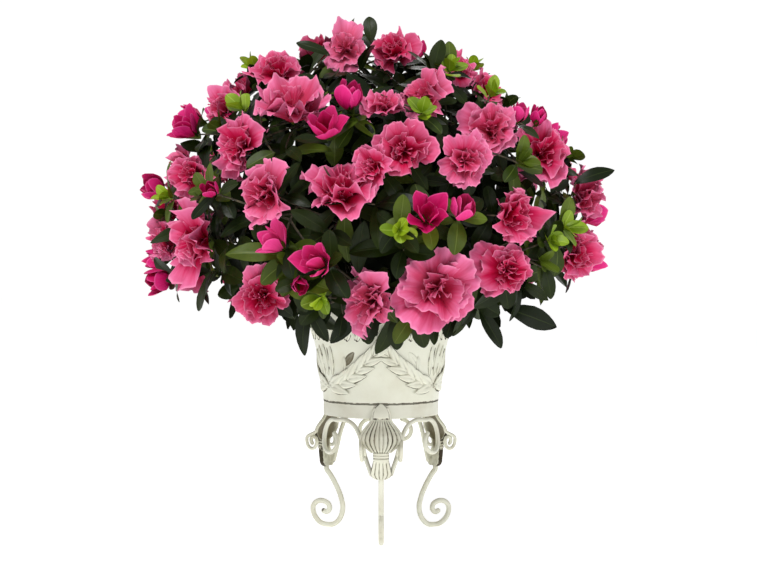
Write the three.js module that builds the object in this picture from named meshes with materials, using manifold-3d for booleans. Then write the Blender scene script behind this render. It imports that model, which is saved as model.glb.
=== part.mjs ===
// Silk azalea in an antique-white metal pot, held in the collar of a three-legged scroll stand.
//
// Millimetres, +Z up. The origin is on the floor under the pot's axis, and -Y is the front.
// An azimuth is counted in degrees from the front, positive towards +X. An elevation is counted
// in degrees from the horizontal, seen from the centre of the crown.

import * as THREE from 'three'
import { mergeVertices } from 'three/addons/utils/BufferGeometryUtils.js'
import Module from 'manifold-3d'

const wasm = await Module()
wasm.setup()

// ---------------------------------------------------------------- driving dimensions

const seam = 0.3 // clearance left where two pieces touch
const roundSegments = 24 // facets round the pot, its filling and the collar

const collar = { outerRadius: 62.6, thickness: 1, bottom: 130, top: 145 }

const pot = {
  wall: 1.6,
  floor: 2,
  footRadius: 59.5,
  // outer wall above the collar: radius and height
  flare: [[62.8, 145.3], [64, 166], [68, 188], [72.5, 207.5], [77.8, 232], [82, 248]],
  lip: { radius: 83.6, height: 252 },
  beads: [{ height: 207.5, rise: 1.2 }, { height: 232, rise: 1.2 }],
}

const filling = { height: 240, crown: 243, flatRadius: 22 }

const wreath = {
  azimuths: [-60, 60, 180],
  halfSpan: 51,
  bottom: 158,
  top: 203,
  leavesPerBranch: 5,
  leaf: { length: 18, width: 8, thickness: 3, proud: 0.7, splay: 32 },
}

const legAzimuths = { front: 0, right: 120, left: -120 }
const legRod = {
  diameter: 5,
  // centre line in the leg's upright plane: distance from the axis and height. The foot's
  // lowest stretch dips under the rod's radius, and what would pass the floor is filed flat.
  route: [
    [70.4, 67.1], [69.9, 63.9], [65.8, 59.3], [57, 46.3], [51.1, 33.8], [48.8, 22.3], [52.1, 11.3],
    [58.6, 4.2], [64.4, 1.5], [73.2, 1.5], [79.6, 4.5], [86.4, 12], [87.8, 20.7], [83.2, 26.6],
    [75.4, 28.4], [67.8, 25.4], [66, 20.3], [69.8, 16.2], [73.7, 17.2],
  ],
}

// Cast shell that joins each leg to the collar, as keys of height and size
const shell = {
  bottom: 68,
  top: 146,
  halfWidth: [
    [68, 5.7], [76, 7.2], [85, 9.6], [88.5, 8.2], [99, 8.2], [101.5, 14], [105, 18], [110, 20.3], [115, 20.3],
    [120, 18.5], [125, 15], [130, 10], [136, 8.6], [142, 6], [146, 1.6],
  ],
  front: [
    [68, 72.6], [76, 74], [88, 77.2], [100, 78.2], [104, 77.6], [113, 75], [122, 69.6], [130, 66.2], [146, 64.6],
  ],
  bend: [[68, 1.5], [98, 2], [103, 5.6], [120, 4.5], [130, 1.2], [146, 0.4]],
  thickness: [[68, 5], [98, 5.5], [103, 2.6], [120, 2.4], [146, 1.6]],
  backStop: 62.95,
  ridgeDepth: 0.9,
}

// Spiral wire that arches under the collar beside a leg, unrolled onto the stand's side:
// distance along the round from the leg's middle, and height
const arm = {
  diameter: 4,
  foot: [[10, 73], [16.2, 90], [21.4, 108], [30, 122.3], [42, 127.7]],
  curl: { centre: [62, 106], startAngle: 108, endAngle: -235, startRadius: 21.8, endRadius: 8 },
  unrollRadius: 65,
  radiusByHeight: [[68, 68.4], [90, 66.6], [108, 64.6], [127.7, 62.1]],
  rearSpread: 0.74, // the rear pair is narrower so that the two curls stay apart
}

const crownCentre = new THREE.Vector3(0, 0, 319)
const crown = {
  halfWidth: 258,
  top: 559,
  // reach of the outermost leaves by elevation
  reach: [[-60, 118], [-45, 142], [-32, 176], [-20, 222], [-10, 249], [10, 256], [45, 242], [90, 240]],
}

const mainStem = {
  bottom: filling.crown + seam,
  top: 288,
  lean: 2.5,
  radius: [[243.3, 14], [254, 9.6], [270, 9.6], [288, 8.8]], // by height
}

const boughTiers = [
  { name: 'top', count: 1, elevation: 90, firstAzimuth: 0, forkHeight: 288, baseRadius: 3.6 },
  { name: 'shoulder', count: 5, elevation: 40, firstAzimuth: 36, forkHeight: 281, baseRadius: 3.3 },
  { name: 'skirt', count: 8, elevation: -6, firstAzimuth: 22.5, forkHeight: 265, baseRadius: 2.9 },
]
const bough = { reach: 96, tipRadius: 2.2 }
const massStem = { radius: 2.1, tipRadius: 1.3, share: 0.7 } // share of the reach that the stem runs to
// Close growth in the middle of each mass, which the twigs, leaves and flowers stand out of
const core = { inner: 112, share: 0.69, acrossRadius: 50, gap: 5, ripple: 9 }
const twig = { radius: 1.3, tipRadius: 0.9, shortest: 14 }
const leaf = { length: 50, width: 22, thickness: 1.8, sunk: 0.2, room: 9, innerLimit: 99 }
const leafTurn = 137.5 // degrees from one leaf to the next down a twig
const leafStep = 0.13 // share of the twig between two leaves
const cellMargin = 0.45 // distance every vertex keeps from the wall between two masses

// Rows of blossom round the crown. A bloom states its azimuth and its width, a bud its azimuth.
// The far side of each row takes `rear` of them, spread evenly.
const bloomRows = [
  { elevation: 70, blooms: [], buds: [], rear: 2 },
  { elevation: 51, blooms: [[-15, 48], [8, 50]], buds: [], rear: 2 },
  { elevation: 42, blooms: [[-36, 54], [29, 50], [44, 45]], buds: [-19], rear: 3 },
  { elevation: 35, blooms: [[-53, 50]], buds: [], rear: 0 },
  { elevation: 31.5, blooms: [[-23, 71], [14, 59]], buds: [-9], rear: 4 },
  { elevation: 24, blooms: [[29, 59]], buds: [-58, -14], rear: 0 },
  { elevation: 19, blooms: [[-35, 52], [5, 63], [44, 58]], buds: [], rear: 5 },
  { elevation: 15, blooms: [[-49, 50], [20, 54]], buds: [-74], rear: 0 },
  { elevation: 8.5, blooms: [[-25, 54], [-9, 64], [54, 55]], buds: [], rear: 5 },
  { elevation: 4, blooms: [[31, 54]], buds: [10, 17], rear: 0 },
  { elevation: -1, blooms: [[-65, 50], [-47, 68], [47, 48]], buds: [-23], rear: 5 },
  { elevation: -8, blooms: [[29, 55]], buds: [-66, -13], rear: 0 },
  { elevation: -13.5, blooms: [[-29, 55], [-20, 46], [-4, 64], [13, 76]], buds: [], rear: 4 },
]
const rearArc = { start: 78, end: 282, budEvery: 3, bloomWidth: 58 }
const bloom = { depth: 0.62, throat: 0.24, notch: 0.8, smallest: 0.5 }
const bud = { length: 32, width: 17 }
const leafSprays = { count: 78, lowest: -46, bloomClearance: 9 }
// How far inside the reach each kind's twig ends, its room to the cell's walls, and its leaves
const sprayKinds = {
  bloom: { inset: 14, clearance: 17, leaves: 1 },
  bud: { inset: 20, clearance: 9, leaves: 2 },
  leaves: { inset: 32, clearance: 7, leaves: 3 },
}

// ---------------------------------------------------------------- shared helpers

const radians = THREE.MathUtils.degToRad

// Unit vector from an azimuth and an elevation.
function toward(azimuth, elevation) {
  const level = Math.cos(radians(elevation))
  return new THREE.Vector3(
    level * Math.sin(radians(azimuth)),
    -level * Math.cos(radians(azimuth)),
    Math.sin(radians(elevation)),
  )
}

// Value at `at` on straight stretches between keys of [place, value].
function between(keys, at) {
  const next = keys.findIndex(([place]) => place >= at)
  if (next < 0) return keys[keys.length - 1][1]
  if (next === 0) return keys[0][1]
  const [lowPlace, lowValue] = keys[next - 1]
  const [highPlace, highValue] = keys[next]
  return lowValue + ((highValue - lowValue) * (at - lowPlace)) / (highPlace - lowPlace)
}

// Repeatable random numbers from 0 to 1 (mulberry32).
function seededRandom(seed) {
  let state = seed >>> 0
  return () => {
    state = (state + 0x6d2b79f5) >>> 0
    let mixed = Math.imul(state ^ (state >>> 15), state | 1)
    mixed ^= mixed + Math.imul(mixed ^ (mixed >>> 7), mixed | 61)
    return ((mixed ^ (mixed >>> 14)) >>> 0) / 4294967296
  }
}

function toSolid(geometry) {
  const bare = geometry.clone()
  bare.deleteAttribute('normal')
  bare.deleteAttribute('uv')
  const merged = mergeVertices(bare, 1e-4)
  const corners = merged.index.array
  const faces = []
  for (let i = 0; i < corners.length; i += 3) {
    const [a, b, c] = corners.slice(i, i + 3)
    if (a !== b && b !== c && c !== a) faces.push(a, b, c)
  }
  return new wasm.Manifold(new wasm.Mesh({
    numProp: 3,
    vertProperties: Float32Array.from(merged.attributes.position.array),
    triVerts: Uint32Array.from(faces),
  }))
}

function toGeometry(solid) {
  const { vertProperties, triVerts } = solid.getMesh()
  const geometry = new THREE.BufferGeometry()
  geometry.setAttribute('position', new THREE.BufferAttribute(vertProperties, 3))
  geometry.setIndex(new THREE.BufferAttribute(triVerts, 1))
  geometry.computeVertexNormals()
  return geometry
}

// Joins geometries into one solid, keeping its largest body: scraps and sealed hollows go.
function fuse(geometries) {
  const joined = wasm.Manifold.union(geometries.map(toSolid))
  const bodies = joined.decompose()
  const largest = bodies.reduce((best, body) => (body.volume() > best.volume() ? body : best))
  return toGeometry(largest)
}

function lathe(profile) {
  const points = profile.map(([radius, height]) => new THREE.Vector2(radius, height))
  return new THREE.LatheGeometry(points, roundSegments).rotateX(Math.PI / 2)
}

// Rod of even thickness along a curve. A facet faces along the curve's binormal, which lies in
// the plane of a flat curve.
function rod(curve, diameter, sides, steps) {
  const corners = Array.from({ length: sides }, (_, i) => {
    const turn = ((i + 0.5) / sides) * 2 * Math.PI
    return new THREE.Vector2(Math.sin(turn), Math.cos(turn)).multiplyScalar(diameter / 2)
  })
  const settings = { steps, extrudePath: curve, bevelEnabled: false }
  return new THREE.ExtrudeGeometry(new THREE.Shape(corners), settings)
}

// Limb that tapers along a curve: a cylinder laid ring by ring along it.
function limb(curve, startRadius, endRadius, sides, steps) {
  const geometry = new THREE.CylinderGeometry(endRadius, startRadius, 1, sides, steps)
  const frames = curve.computeFrenetFrames(steps, false)
  const position = geometry.attributes.position
  for (let i = 0; i < position.count; i++) {
    const ring = Math.round((position.getY(i) + 0.5) * steps)
    const across = frames.normals[ring]
    const square = new THREE.Vector3().crossVectors(across, frames.tangents[ring])
    const point = curve.getPointAt(ring / steps)
    point.addScaledVector(across, position.getX(i)).addScaledVector(square, position.getZ(i))
    position.setXYZ(i, point.x, point.y, point.z)
  }
  return geometry
}

function bend(start, control, end) {
  return new THREE.QuadraticBezierCurve3(start, control, end)
}

// ---------------------------------------------------------------- pot, filling and collar

function potRadiusAt(height) {
  return between(pot.flare.map(([radius, at]) => [at, radius]), height)
}

function potInside(extra) {
  const foot = [pot.footRadius - pot.wall - extra, collar.bottom + seam + pot.floor + extra]
  const walls = pot.flare.filter((_, i) => i % 2 === 0)
  return [foot, ...walls.map(([radius, height]) => [radius - pot.wall - extra, height + pot.floor])]
}

function potGeometry() {
  const base = collar.bottom + seam
  const neck = collar.outerRadius - collar.thickness - seam
  const outside = pot.flare.map(([radius, height]) => {
    const bead = pot.beads.find((entry) => entry.height === height)
    return [radius + (bead ? bead.rise : 0), height]
  })
  const profile = [
    [0, base],
    [pot.footRadius, base],
    [neck, collar.top],
    [neck, pot.flare[0][1]],
    ...outside,
    [pot.lip.radius, pot.lip.height - 2],
    [pot.lip.radius - 0.8, pot.lip.height],
    [pot.lip.radius - 2.6, pot.lip.height],
    ...potInside(0).reverse(),
    [0, base + pot.floor],
  ]
  return fuse([lathe(profile), ...wreathLeaves()])
}

// One leaf of eight faces: a stretched octahedron from root to tip.
function leafBlade(root, direction, faceNormal, { length, width, thickness }) {
  const along = direction.clone().normalize()
  const side = new THREE.Vector3().crossVectors(faceNormal, along).normalize()
  const up = new THREE.Vector3().crossVectors(along, side)
  const placing = new THREE.Matrix4().makeBasis(
    along.clone().multiplyScalar(length / 2),
    side.multiplyScalar(width / 2),
    up.multiplyScalar(thickness / 2),
  )
  placing.setPosition(root.clone().addScaledVector(along, length / 2))
  return new THREE.OctahedronGeometry(1).applyMatrix4(placing)
}

// Laurel leaves on the pot's wall: each wreath is two branches that rise from one low point.
function wreathLeaves() {
  const leaves = []
  const place = (azimuth, height) => toward(azimuth, 0).multiplyScalar(potRadiusAt(height)).setZ(height)
  const addLeaf = (azimuth, height, direction, scale) => {
    const size = {
      length: wreath.leaf.length * scale,
      width: wreath.leaf.width * scale,
      thickness: wreath.leaf.thickness,
    }
    const middle = place(azimuth, height).addScaledVector(toward(azimuth, 0), wreath.leaf.proud)
    const root = middle.addScaledVector(direction.clone().normalize(), -size.length / 2)
    leaves.push(leafBlade(root, direction, toward(azimuth, 0), size))
  }
  for (const middle of wreath.azimuths) {
    for (const hand of [-1, 1]) {
      for (let i = 0; i < wreath.leavesPerBranch; i++) {
        const turn = radians((90 * (i + 0.3)) / wreath.leavesPerBranch)
        const azimuth = middle + hand * wreath.halfSpan * Math.sin(turn)
        const height = wreath.bottom + (wreath.top - wreath.bottom) * (1 - Math.cos(turn))
        const nextTurn = turn + 0.05
        const ahead = place(
          middle + hand * wreath.halfSpan * Math.sin(nextTurn),
          wreath.bottom + (wreath.top - wreath.bottom) * (1 - Math.cos(nextTurn)),
        ).sub(place(azimuth, height))
        const splay = radians(wreath.leaf.splay) * (i % 2 ? 1 : -1)
        addLeaf(azimuth, height, ahead.applyAxisAngle(toward(azimuth, 0), splay), 1)
      }
    }
    addLeaf(middle, wreath.bottom + 12, place(middle, wreath.top).sub(place(middle, wreath.bottom)), 1.5)
  }
  return leaves
}

function fillingGeometry() {
  const walls = potInside(seam).filter(([, height]) => height < filling.height)
  const wallRadius = between(potInside(seam).map(([radius, height]) => [height, radius]), filling.height)
  return lathe([
    [0, walls[0][1]],
    ...walls,
    [wallRadius - 0.1, filling.height],
    [filling.flatRadius, filling.crown],
    [0, filling.crown],
  ])
}

function collarGeometry() {
  const inner = collar.outerRadius - collar.thickness
  return lathe([
    [inner, collar.bottom],
    [collar.outerRadius, collar.bottom],
    [collar.outerRadius, collar.top],
    [inner, collar.top],
    [inner, collar.bottom],
  ])
}

// ---------------------------------------------------------------- stand

// Leg rod at the front, with the underside of its foot filed flat on the floor.
function legGeometry() {
  const route = legRod.route.map(([out, height]) => new THREE.Vector3(0, -out, height))
  const geometry = rod(new THREE.CatmullRomCurve3(route), legRod.diameter, 6, 24)
  const position = geometry.attributes.position
  for (let i = 0; i < position.count; i++) position.setZ(i, Math.max(position.getZ(i), 0))
  return geometry
}

// Cast shell at the front: a block whose faces are moved to the shell's front and hollow back.
function shellGeometry() {
  const across = 6
  const rows = 12
  const geometry = new THREE.BoxGeometry(2, 1, 1, across, 1, rows)
  const position = geometry.attributes.position
  for (let i = 0; i < position.count; i++) {
    const share = position.getX(i)
    const row = Math.round((position.getZ(i) + 0.5) * rows)
    const height = shell.bottom + ((shell.top - shell.bottom) * row) / rows
    const isFan = height > 101 && height < 131
    const onRidge = Math.round((share + 1) * (across / 2)) % 2 === 0
    const ridge = isFan && onRidge ? shell.ridgeDepth : 0
    const front = between(shell.front, height) - between(shell.bend, height) * share ** 2 + ridge
    const back = Math.max(front - between(shell.thickness, height), shell.backStop)
    const out = position.getY(i) < 0 ? front : back
    position.setXYZ(i, share * between(shell.halfWidth, height), -out, height)
  }
  return geometry
}

// Scroll arm beside a leg: `hand` is +1 to the right of the leg and -1 to its left.
function armGeometry(hand, spread) {
  const { centre, startAngle, endAngle, startRadius, endRadius } = arm.curl
  const route = arm.foot.map(([round, height]) => [round, height])
  const turns = 12
  for (let i = 0; i <= turns; i++) {
    const share = i / turns
    const angle = radians(startAngle + (endAngle - startAngle) * share)
    const radius = startRadius + (endRadius - startRadius) * share
    route.push([centre[0] + radius * Math.cos(angle), centre[1] + radius * Math.sin(angle)])
  }
  const start = arm.foot[0][0]
  const points = route.map(([round, height]) => {
    const azimuth = ((start + (round - start) * spread) / arm.unrollRadius) * hand
    const out = between(arm.radiusByHeight, height)
    return new THREE.Vector3(out * Math.sin(azimuth), -out * Math.cos(azimuth), height)
  })
  return rod(new THREE.CatmullRomCurve3(points), arm.diameter, 5, 24)
}

// ---------------------------------------------------------------- stem, boughs and masses

function reachAt(elevation) {
  return between(crown.reach, elevation)
}

function elevationOf(direction) {
  return THREE.MathUtils.radToDeg(Math.asin(direction.z))
}

// The cells are cones round the crown's centre: a point belongs to the nearest direction.
const cells = boughTiers.flatMap((tier) => Array.from({ length: tier.count }, (_, i) => ({
  name: tier.count > 1 ? `${tier.name}_${i + 1}` : tier.name,
  tier,
  azimuth: tier.firstAzimuth + (360 / tier.count) * i,
  direction: toward(tier.firstAzimuth + (360 / tier.count) * i, tier.elevation),
})))
for (const cell of cells) {
  cell.walls = cells
    .filter((other) => other !== cell)
    .map((other) => cell.direction.clone().sub(other.direction).normalize())
}

function nearestCell(direction) {
  return cells.reduce((best, cell) => (
    cell.direction.dot(direction) > best.direction.dot(direction) ? cell : best
  ))
}

// Smallest distance from a point to the walls of its cell, negative outside.
function wallDistance(cell, point) {
  const offset = point.clone().sub(crownCentre)
  return Math.min(...cell.walls.map((wall) => wall.dot(offset)))
}

// Moves a point away from the walls of its cell until it keeps the clearance.
function keepInside(cell, point, clearance) {
  const settled = point.clone()
  for (let round = 0; round < 12; round++) {
    for (const wall of cell.walls) {
      const missing = clearance - wall.dot(settled.clone().sub(crownCentre))
      if (missing > 0) settled.addScaledVector(wall, missing)
    }
  }
  return settled
}

function clearOfPot(point) {
  if (point.z > pot.lip.height + 5) return true
  return Math.hypot(point.x, point.y) > potRadiusAt(point.z) + 7
}

// True when every vertex stays in its cell, outside the boughs' space and within the crown.
function fits(cell, geometry) {
  const position = geometry.attributes.position
  const point = new THREE.Vector3()
  for (let i = 0; i < position.count; i++) {
    point.fromBufferAttribute(position, i)
    const tooWide = Math.max(Math.abs(point.x), Math.abs(point.y)) > crown.halfWidth
    if (tooWide || point.z > crown.top || !clearOfPot(point)) return false
    if (point.distanceTo(crownCentre) < leaf.innerLimit) return false
    if (wallDistance(cell, point) < cellMargin) return false
  }
  return true
}

function stemAt(height) {
  const share = (height - mainStem.bottom) / (mainStem.top - mainStem.bottom)
  return new THREE.Vector3(mainStem.lean * share, 0, height)
}

function stemGeometry() {
  const steps = mainStem.radius.length - 1
  const geometry = new THREE.CylinderGeometry(1, 1, 1, 14, steps).rotateX(Math.PI / 2)
  const position = geometry.attributes.position
  for (let i = 0; i < position.count; i++) {
    const [height, radius] = mainStem.radius[Math.round((position.getZ(i) + 0.5) * steps)]
    const centre = stemAt(height)
    position.setXYZ(i, centre.x + position.getX(i) * radius, position.getY(i) * radius, height)
  }
  return geometry
}

// Centre line of a bough, from the stem's bark to its tip on the axis of its cell.
function boughCurve(cell) {
  const { forkHeight, baseRadius } = cell.tier
  const tip = crownCentre.clone().addScaledVector(cell.direction, bough.reach)
  if (cell.tier.elevation > 80) {
    const start = stemAt(forkHeight + seam)
    return bend(start, start.clone().lerp(tip, 0.5).add(new THREE.Vector3(-2, 3, 0)), tip)
  }
  const rise = cell.tier.elevation > 0 ? 25 : 8
  const heading = toward(cell.azimuth, rise)
  const out = between(mainStem.radius, forkHeight) + seam + baseRadius * Math.sin(radians(rise))
  const start = stemAt(forkHeight).addScaledVector(toward(cell.azimuth, 0), out)
  return bend(start, start.clone().addScaledVector(heading, 45), tip)
}

function starRim(geometry, segments) {
  const position = geometry.attributes.position
  for (let i = 0; i < position.count; i++) {
    const radius = Math.hypot(position.getX(i), position.getY(i))
    if (radius < 0.9) continue
    const turn = Math.atan2(position.getY(i), position.getX(i)) / (2 * Math.PI)
    const isNotch = Math.round(turn * segments + segments) % 2 === 1
    if (isNotch) {
      position.setXY(i, position.getX(i) * bloom.notch, position.getY(i) * bloom.notch)
      position.setZ(i, position.getZ(i) + 0.1)
    }
  }
  return geometry
}

// Turns a shape that stands on the origin along +Z to face `direction` from `base`.
function aim(geometry, base, direction, scale, spin) {
  const turn = new THREE.Quaternion().setFromUnitVectors(new THREE.Vector3(0, 0, 1), direction)
  geometry.rotateZ(spin).scale(scale, scale, scale).applyQuaternion(turn)
  return geometry.translate(base.x, base.y, base.z)
}

// Open bloom of five petals: a funnel whose rim is notched between the petals.
function bloomBlade(centre, direction, width, spin) {
  const profile = [[0, -bloom.depth], [1, 0], [0, -bloom.throat]]
  const segments = 10
  const points = profile.map(([radius, height]) => new THREE.Vector2(radius, height))
  const geometry = new THREE.LatheGeometry(points, segments).rotateX(Math.PI / 2)
  return aim(starRim(geometry, segments), centre, direction, width / 2, spin)
}

// Half-open bud: a five-sided spindle.
function budBlade(centre, direction, spin) {
  const half = bud.length / 2
  const points = [[0, -half], [bud.width / 2, half * 0.25], [0, half]]
  const profile = points.map(([radius, height]) => new THREE.Vector2(radius, height))
  const geometry = new THREE.LatheGeometry(profile, 5).rotateX(Math.PI / 2)
  return aim(geometry, centre, direction, 1, spin)
}

// Every flower and every spray of leaves, with its direction from the crown's centre.
function listSprays() {
  const random = seededRandom(20)
  const sprays = []
  const addFlower = (kind, azimuth, elevation, width) => {
    sprays.push({ kind, width, direction: toward(azimuth, elevation) })
  }
  bloomRows.forEach((row, rowNumber) => {
    row.blooms.forEach(([azimuth, width]) => addFlower('bloom', azimuth, row.elevation, width))
    row.buds.forEach((azimuth) => addFlower('bud', azimuth, row.elevation, bud.width))
    for (let i = 0; i < row.rear; i++) {
      const shift = rowNumber % 2 ? 0.3 : 0.7
      const step = (rearArc.end - rearArc.start) / row.rear
      const azimuth = rearArc.start + step * (i + shift) + (random() - 0.5) * 8
      const elevation = row.elevation + (random() - 0.5) * 5
      const isBud = (i + rowNumber) % rearArc.budEvery === 0
      const width = rearArc.bloomWidth + (random() - 0.5) * 16
      addFlower(isBud ? 'bud' : 'bloom', azimuth, elevation, isBud ? bud.width : width)
    }
  })
  const flowers = [...sprays]
  const goldenAngle = 137.508
  const lowestSine = Math.sin(radians(leafSprays.lowest))
  for (let i = 0; i < leafSprays.count; i++) {
    const sine = 1 - ((1 - lowestSine) * (i + 0.5)) / leafSprays.count
    const elevation = THREE.MathUtils.radToDeg(Math.asin(sine))
    const direction = toward(goldenAngle * i, elevation)
    const nearFlower = flowers.some((flower) => (
      flower.direction.angleTo(direction) < radians(leafSprays.bloomClearance)
    ))
    if (!nearFlower) sprays.push({ kind: 'leaves', width: 0, direction })
  }
  return sprays
}

// Points along a leaf that keep their distance from flowers and from other leaves.
function leafSamples(root, heading, length) {
  return [0.4, 0.7, 1].map((share) => root.clone().addScaledVector(heading, length * share))
}

// Leaves that spiral down a twig from its tip. Each is turned by the seeded rule, is made shorter
// where it would leave its cell, and is left out where it would run through what grows there.
function leavesOnTwig(cell, line, count, grown, random) {
  const leaves = []
  const outward = line.getPointAt(1).sub(crownCentre).normalize()
  const side = new THREE.Vector3().crossVectors(outward, new THREE.Vector3(0.3, 0.2, 1)).normalize()
  const firstTurn = random() * 360
  for (let i = 0; i < count; i++) {
    const turn = radians(firstTurn + leafTurn * i + (random() - 0.5) * 40)
    const sideways = side.clone().applyAxisAngle(outward, turn)
    const heading = outward.clone().addScaledVector(sideways, 0.6 + random() * 0.9).normalize()
    const root = line.getPointAt(0.97 - leafStep * i).addScaledVector(heading, -leaf.sunk)
    for (const length of [leaf.length, leaf.length * 0.8, leaf.length * 0.62]) {
      const size = { length, width: (leaf.width * length) / leaf.length, thickness: leaf.thickness }
      const samples = leafSamples(root, heading, length)
      const isFree = samples.every((sample) => (
        grown.every(({ point, room }) => sample.distanceTo(point) > room)
      ))
      const blade = leafBlade(root, heading, outward.clone().addScaledVector(sideways, -0.4), size)
      if (isFree && fits(cell, blade)) {
        leaves.push(blade)
        grown.push(...samples.map((point) => ({ point, room: leaf.room })))
        break
      }
    }
  }
  return leaves
}

// Bloom at a twig's tip, made smaller until it fits its cell.
function bloomOnTwig(cell, tip, facing, width, spin) {
  for (let scale = 1; scale > bloom.smallest; scale -= 0.08) {
    const centre = tip.clone().addScaledVector(facing, width * scale * 0.5 * bloom.depth * 0.7)
    const blade = bloomBlade(centre, facing, width * scale, spin)
    if (fits(cell, blade)) return [blade]
  }
  return []
}

// Lumpy closed body that fills the inner part of a cell, a little clear of its walls.
function coreGeometry(cell, reach, random) {
  const outer = reach * core.share
  const middle = crownCentre.clone().addScaledVector(cell.direction, (core.inner + outer) / 2)
  const turn = new THREE.Quaternion().setFromUnitVectors(new THREE.Vector3(0, 0, 1), cell.direction)
  const ball = new THREE.IcosahedronGeometry(1, 1)
  ball.deleteAttribute('normal')
  ball.deleteAttribute('uv')
  const body = mergeVertices(ball)
  const position = body.attributes.position
  const point = new THREE.Vector3()
  for (let i = 0; i < position.count; i++) {
    point.fromBufferAttribute(position, i)
    point.multiply(new THREE.Vector3(core.acrossRadius, core.acrossRadius, (outer - core.inner) / 2))
    point.setLength(point.length() + (random() - 0.5) * core.ripple)
    const placed = keepInside(cell, point.applyQuaternion(turn).add(middle), core.gap)
    position.setXYZ(i, placed.x, placed.y, placed.z)
  }
  return body
}

// One mass: a stem that goes on from the bough's tip, twigs that each leave the nearest wood
// further in, and the flowers and leaves at their ends, all fused.
function massGeometry(cell, sprays, seed) {
  const random = seededRandom(seed)
  const boughLine = boughCurve(cell)
  const heading = boughLine.getTangentAt(1)
  const start = boughLine.getPointAt(1).addScaledVector(heading, seam)
  const reach = reachAt(elevationOf(cell.direction))
  const end = crownCentre.clone().addScaledVector(cell.direction, reach * massStem.share)
  const stemLine = bend(start, start.clone().addScaledVector(heading, 25), end)
  const pieces = [
    limb(stemLine, massStem.radius, massStem.tipRadius, 4, 3),
    coreGeometry(cell, reach, random),
  ]
  const joints = []
  for (let share = 0.2; share < 1; share += 0.1) joints.push(stemLine.getPointAt(share))

  const grown = []
  const leafy = []
  for (const spray of sprays) {
    const { inset, clearance, leaves } = sprayKinds[spray.kind]
    const sprayReach = reachAt(elevationOf(spray.direction)) - inset - spray.width * 0.3
    const aimed = crownCentre.clone().addScaledVector(spray.direction, sprayReach)
    const tip = keepInside(cell, aimed, clearance)
    if (!clearOfPot(tip)) continue
    const tipReach = tip.distanceTo(crownCentre)
    const inner = joints.filter((joint) => joint.distanceTo(crownCentre) < tipReach - twig.shortest)
    const from = [joints[0], ...inner].reduce((best, joint) => (
      joint.distanceTo(tip) < best.distanceTo(tip) ? joint : best
    ))
    const outward = tip.clone().sub(crownCentre).normalize()
    const line = bend(from, from.clone().lerp(tip, 0.5).addScaledVector(outward, 5), tip)
    pieces.push(limb(line, twig.radius, twig.tipRadius, 3, 2))
    if (joints.length > 1) joints.splice(joints.indexOf(from), 1)
    joints.push(line.getPointAt(0.35), line.getPointAt(0.6))
    leafy.push({ line, leaves })

    const wobble = new THREE.Vector3(random() - 0.5, random() - 0.5, random() - 0.5).multiplyScalar(0.35)
    const facing = outward.clone().add(wobble).normalize()
    const spin = random() * 2 * Math.PI
    if (spray.kind === 'bloom') pieces.push(...bloomOnTwig(cell, tip, facing, spray.width, spin))
    if (spray.kind === 'bud') {
      const blade = budBlade(tip.clone().addScaledVector(facing, bud.length * 0.4), facing, spin)
      if (fits(cell, blade)) pieces.push(blade)
    }
    if (spray.width > 0) {
      const point = tip.clone().addScaledVector(facing, spray.width * 0.2)
      grown.push({ point, room: spray.width * 0.5 })
    }
  }
  for (const { line, leaves } of leafy) pieces.push(...leavesOnTwig(cell, line, leaves, grown, random))
  return fuse(pieces)
}

// ---------------------------------------------------------------- the part

const finishes = {
  antiqueWhite: new THREE.MeshStandardMaterial({ color: 0xe6e3d0, roughness: 0.5, metalness: 0 }),
  moss: new THREE.MeshStandardMaterial({ color: 0x4a4630, roughness: 0.95, metalness: 0 }),
  bark: new THREE.MeshStandardMaterial({ color: 0x4b3a28, roughness: 0.85, metalness: 0 }),
  foliage: new THREE.MeshStandardMaterial({ color: 0xc4587c, roughness: 0.7, metalness: 0 }),
}

const group = new THREE.Group()

function place(name, geometry, finish, azimuth = 0) {
  const mesh = new THREE.Mesh(geometry, finish)
  mesh.name = name
  mesh.rotation.z = radians(azimuth)
  group.add(mesh)
}

place('pot', potGeometry(), finishes.antiqueWhite)
place('pot_filling', fillingGeometry(), finishes.moss)
place('collar', collarGeometry(), finishes.antiqueWhite)

for (const [side, azimuth] of Object.entries(legAzimuths)) {
  place(`leg_${side}`, legGeometry(), finishes.antiqueWhite, azimuth)
  place(`shell_${side}`, shellGeometry(), finishes.antiqueWhite, azimuth)
}

place('arm_front_left', armGeometry(-1, 1), finishes.antiqueWhite)
place('arm_front_right', armGeometry(1, 1), finishes.antiqueWhite)
place('arm_rear_left', armGeometry(-1, arm.rearSpread), finishes.antiqueWhite, legAzimuths.left)
place('arm_rear_right', armGeometry(1, arm.rearSpread), finishes.antiqueWhite, legAzimuths.right)

place('main_stem', stemGeometry(), finishes.bark)

const sprays = listSprays()
cells.forEach((cell, number) => {
  const boughSolid = limb(boughCurve(cell), cell.tier.baseRadius, bough.tipRadius, 5, 3)
  place(`bough_${cell.name}`, boughSolid, finishes.bark)
  const own = sprays.filter((spray) => nearestCell(spray.direction) === cell)
  place(`mass_${cell.name}`, massGeometry(cell, own, 300 + number), finishes.foliage)
})

export default group
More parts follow.
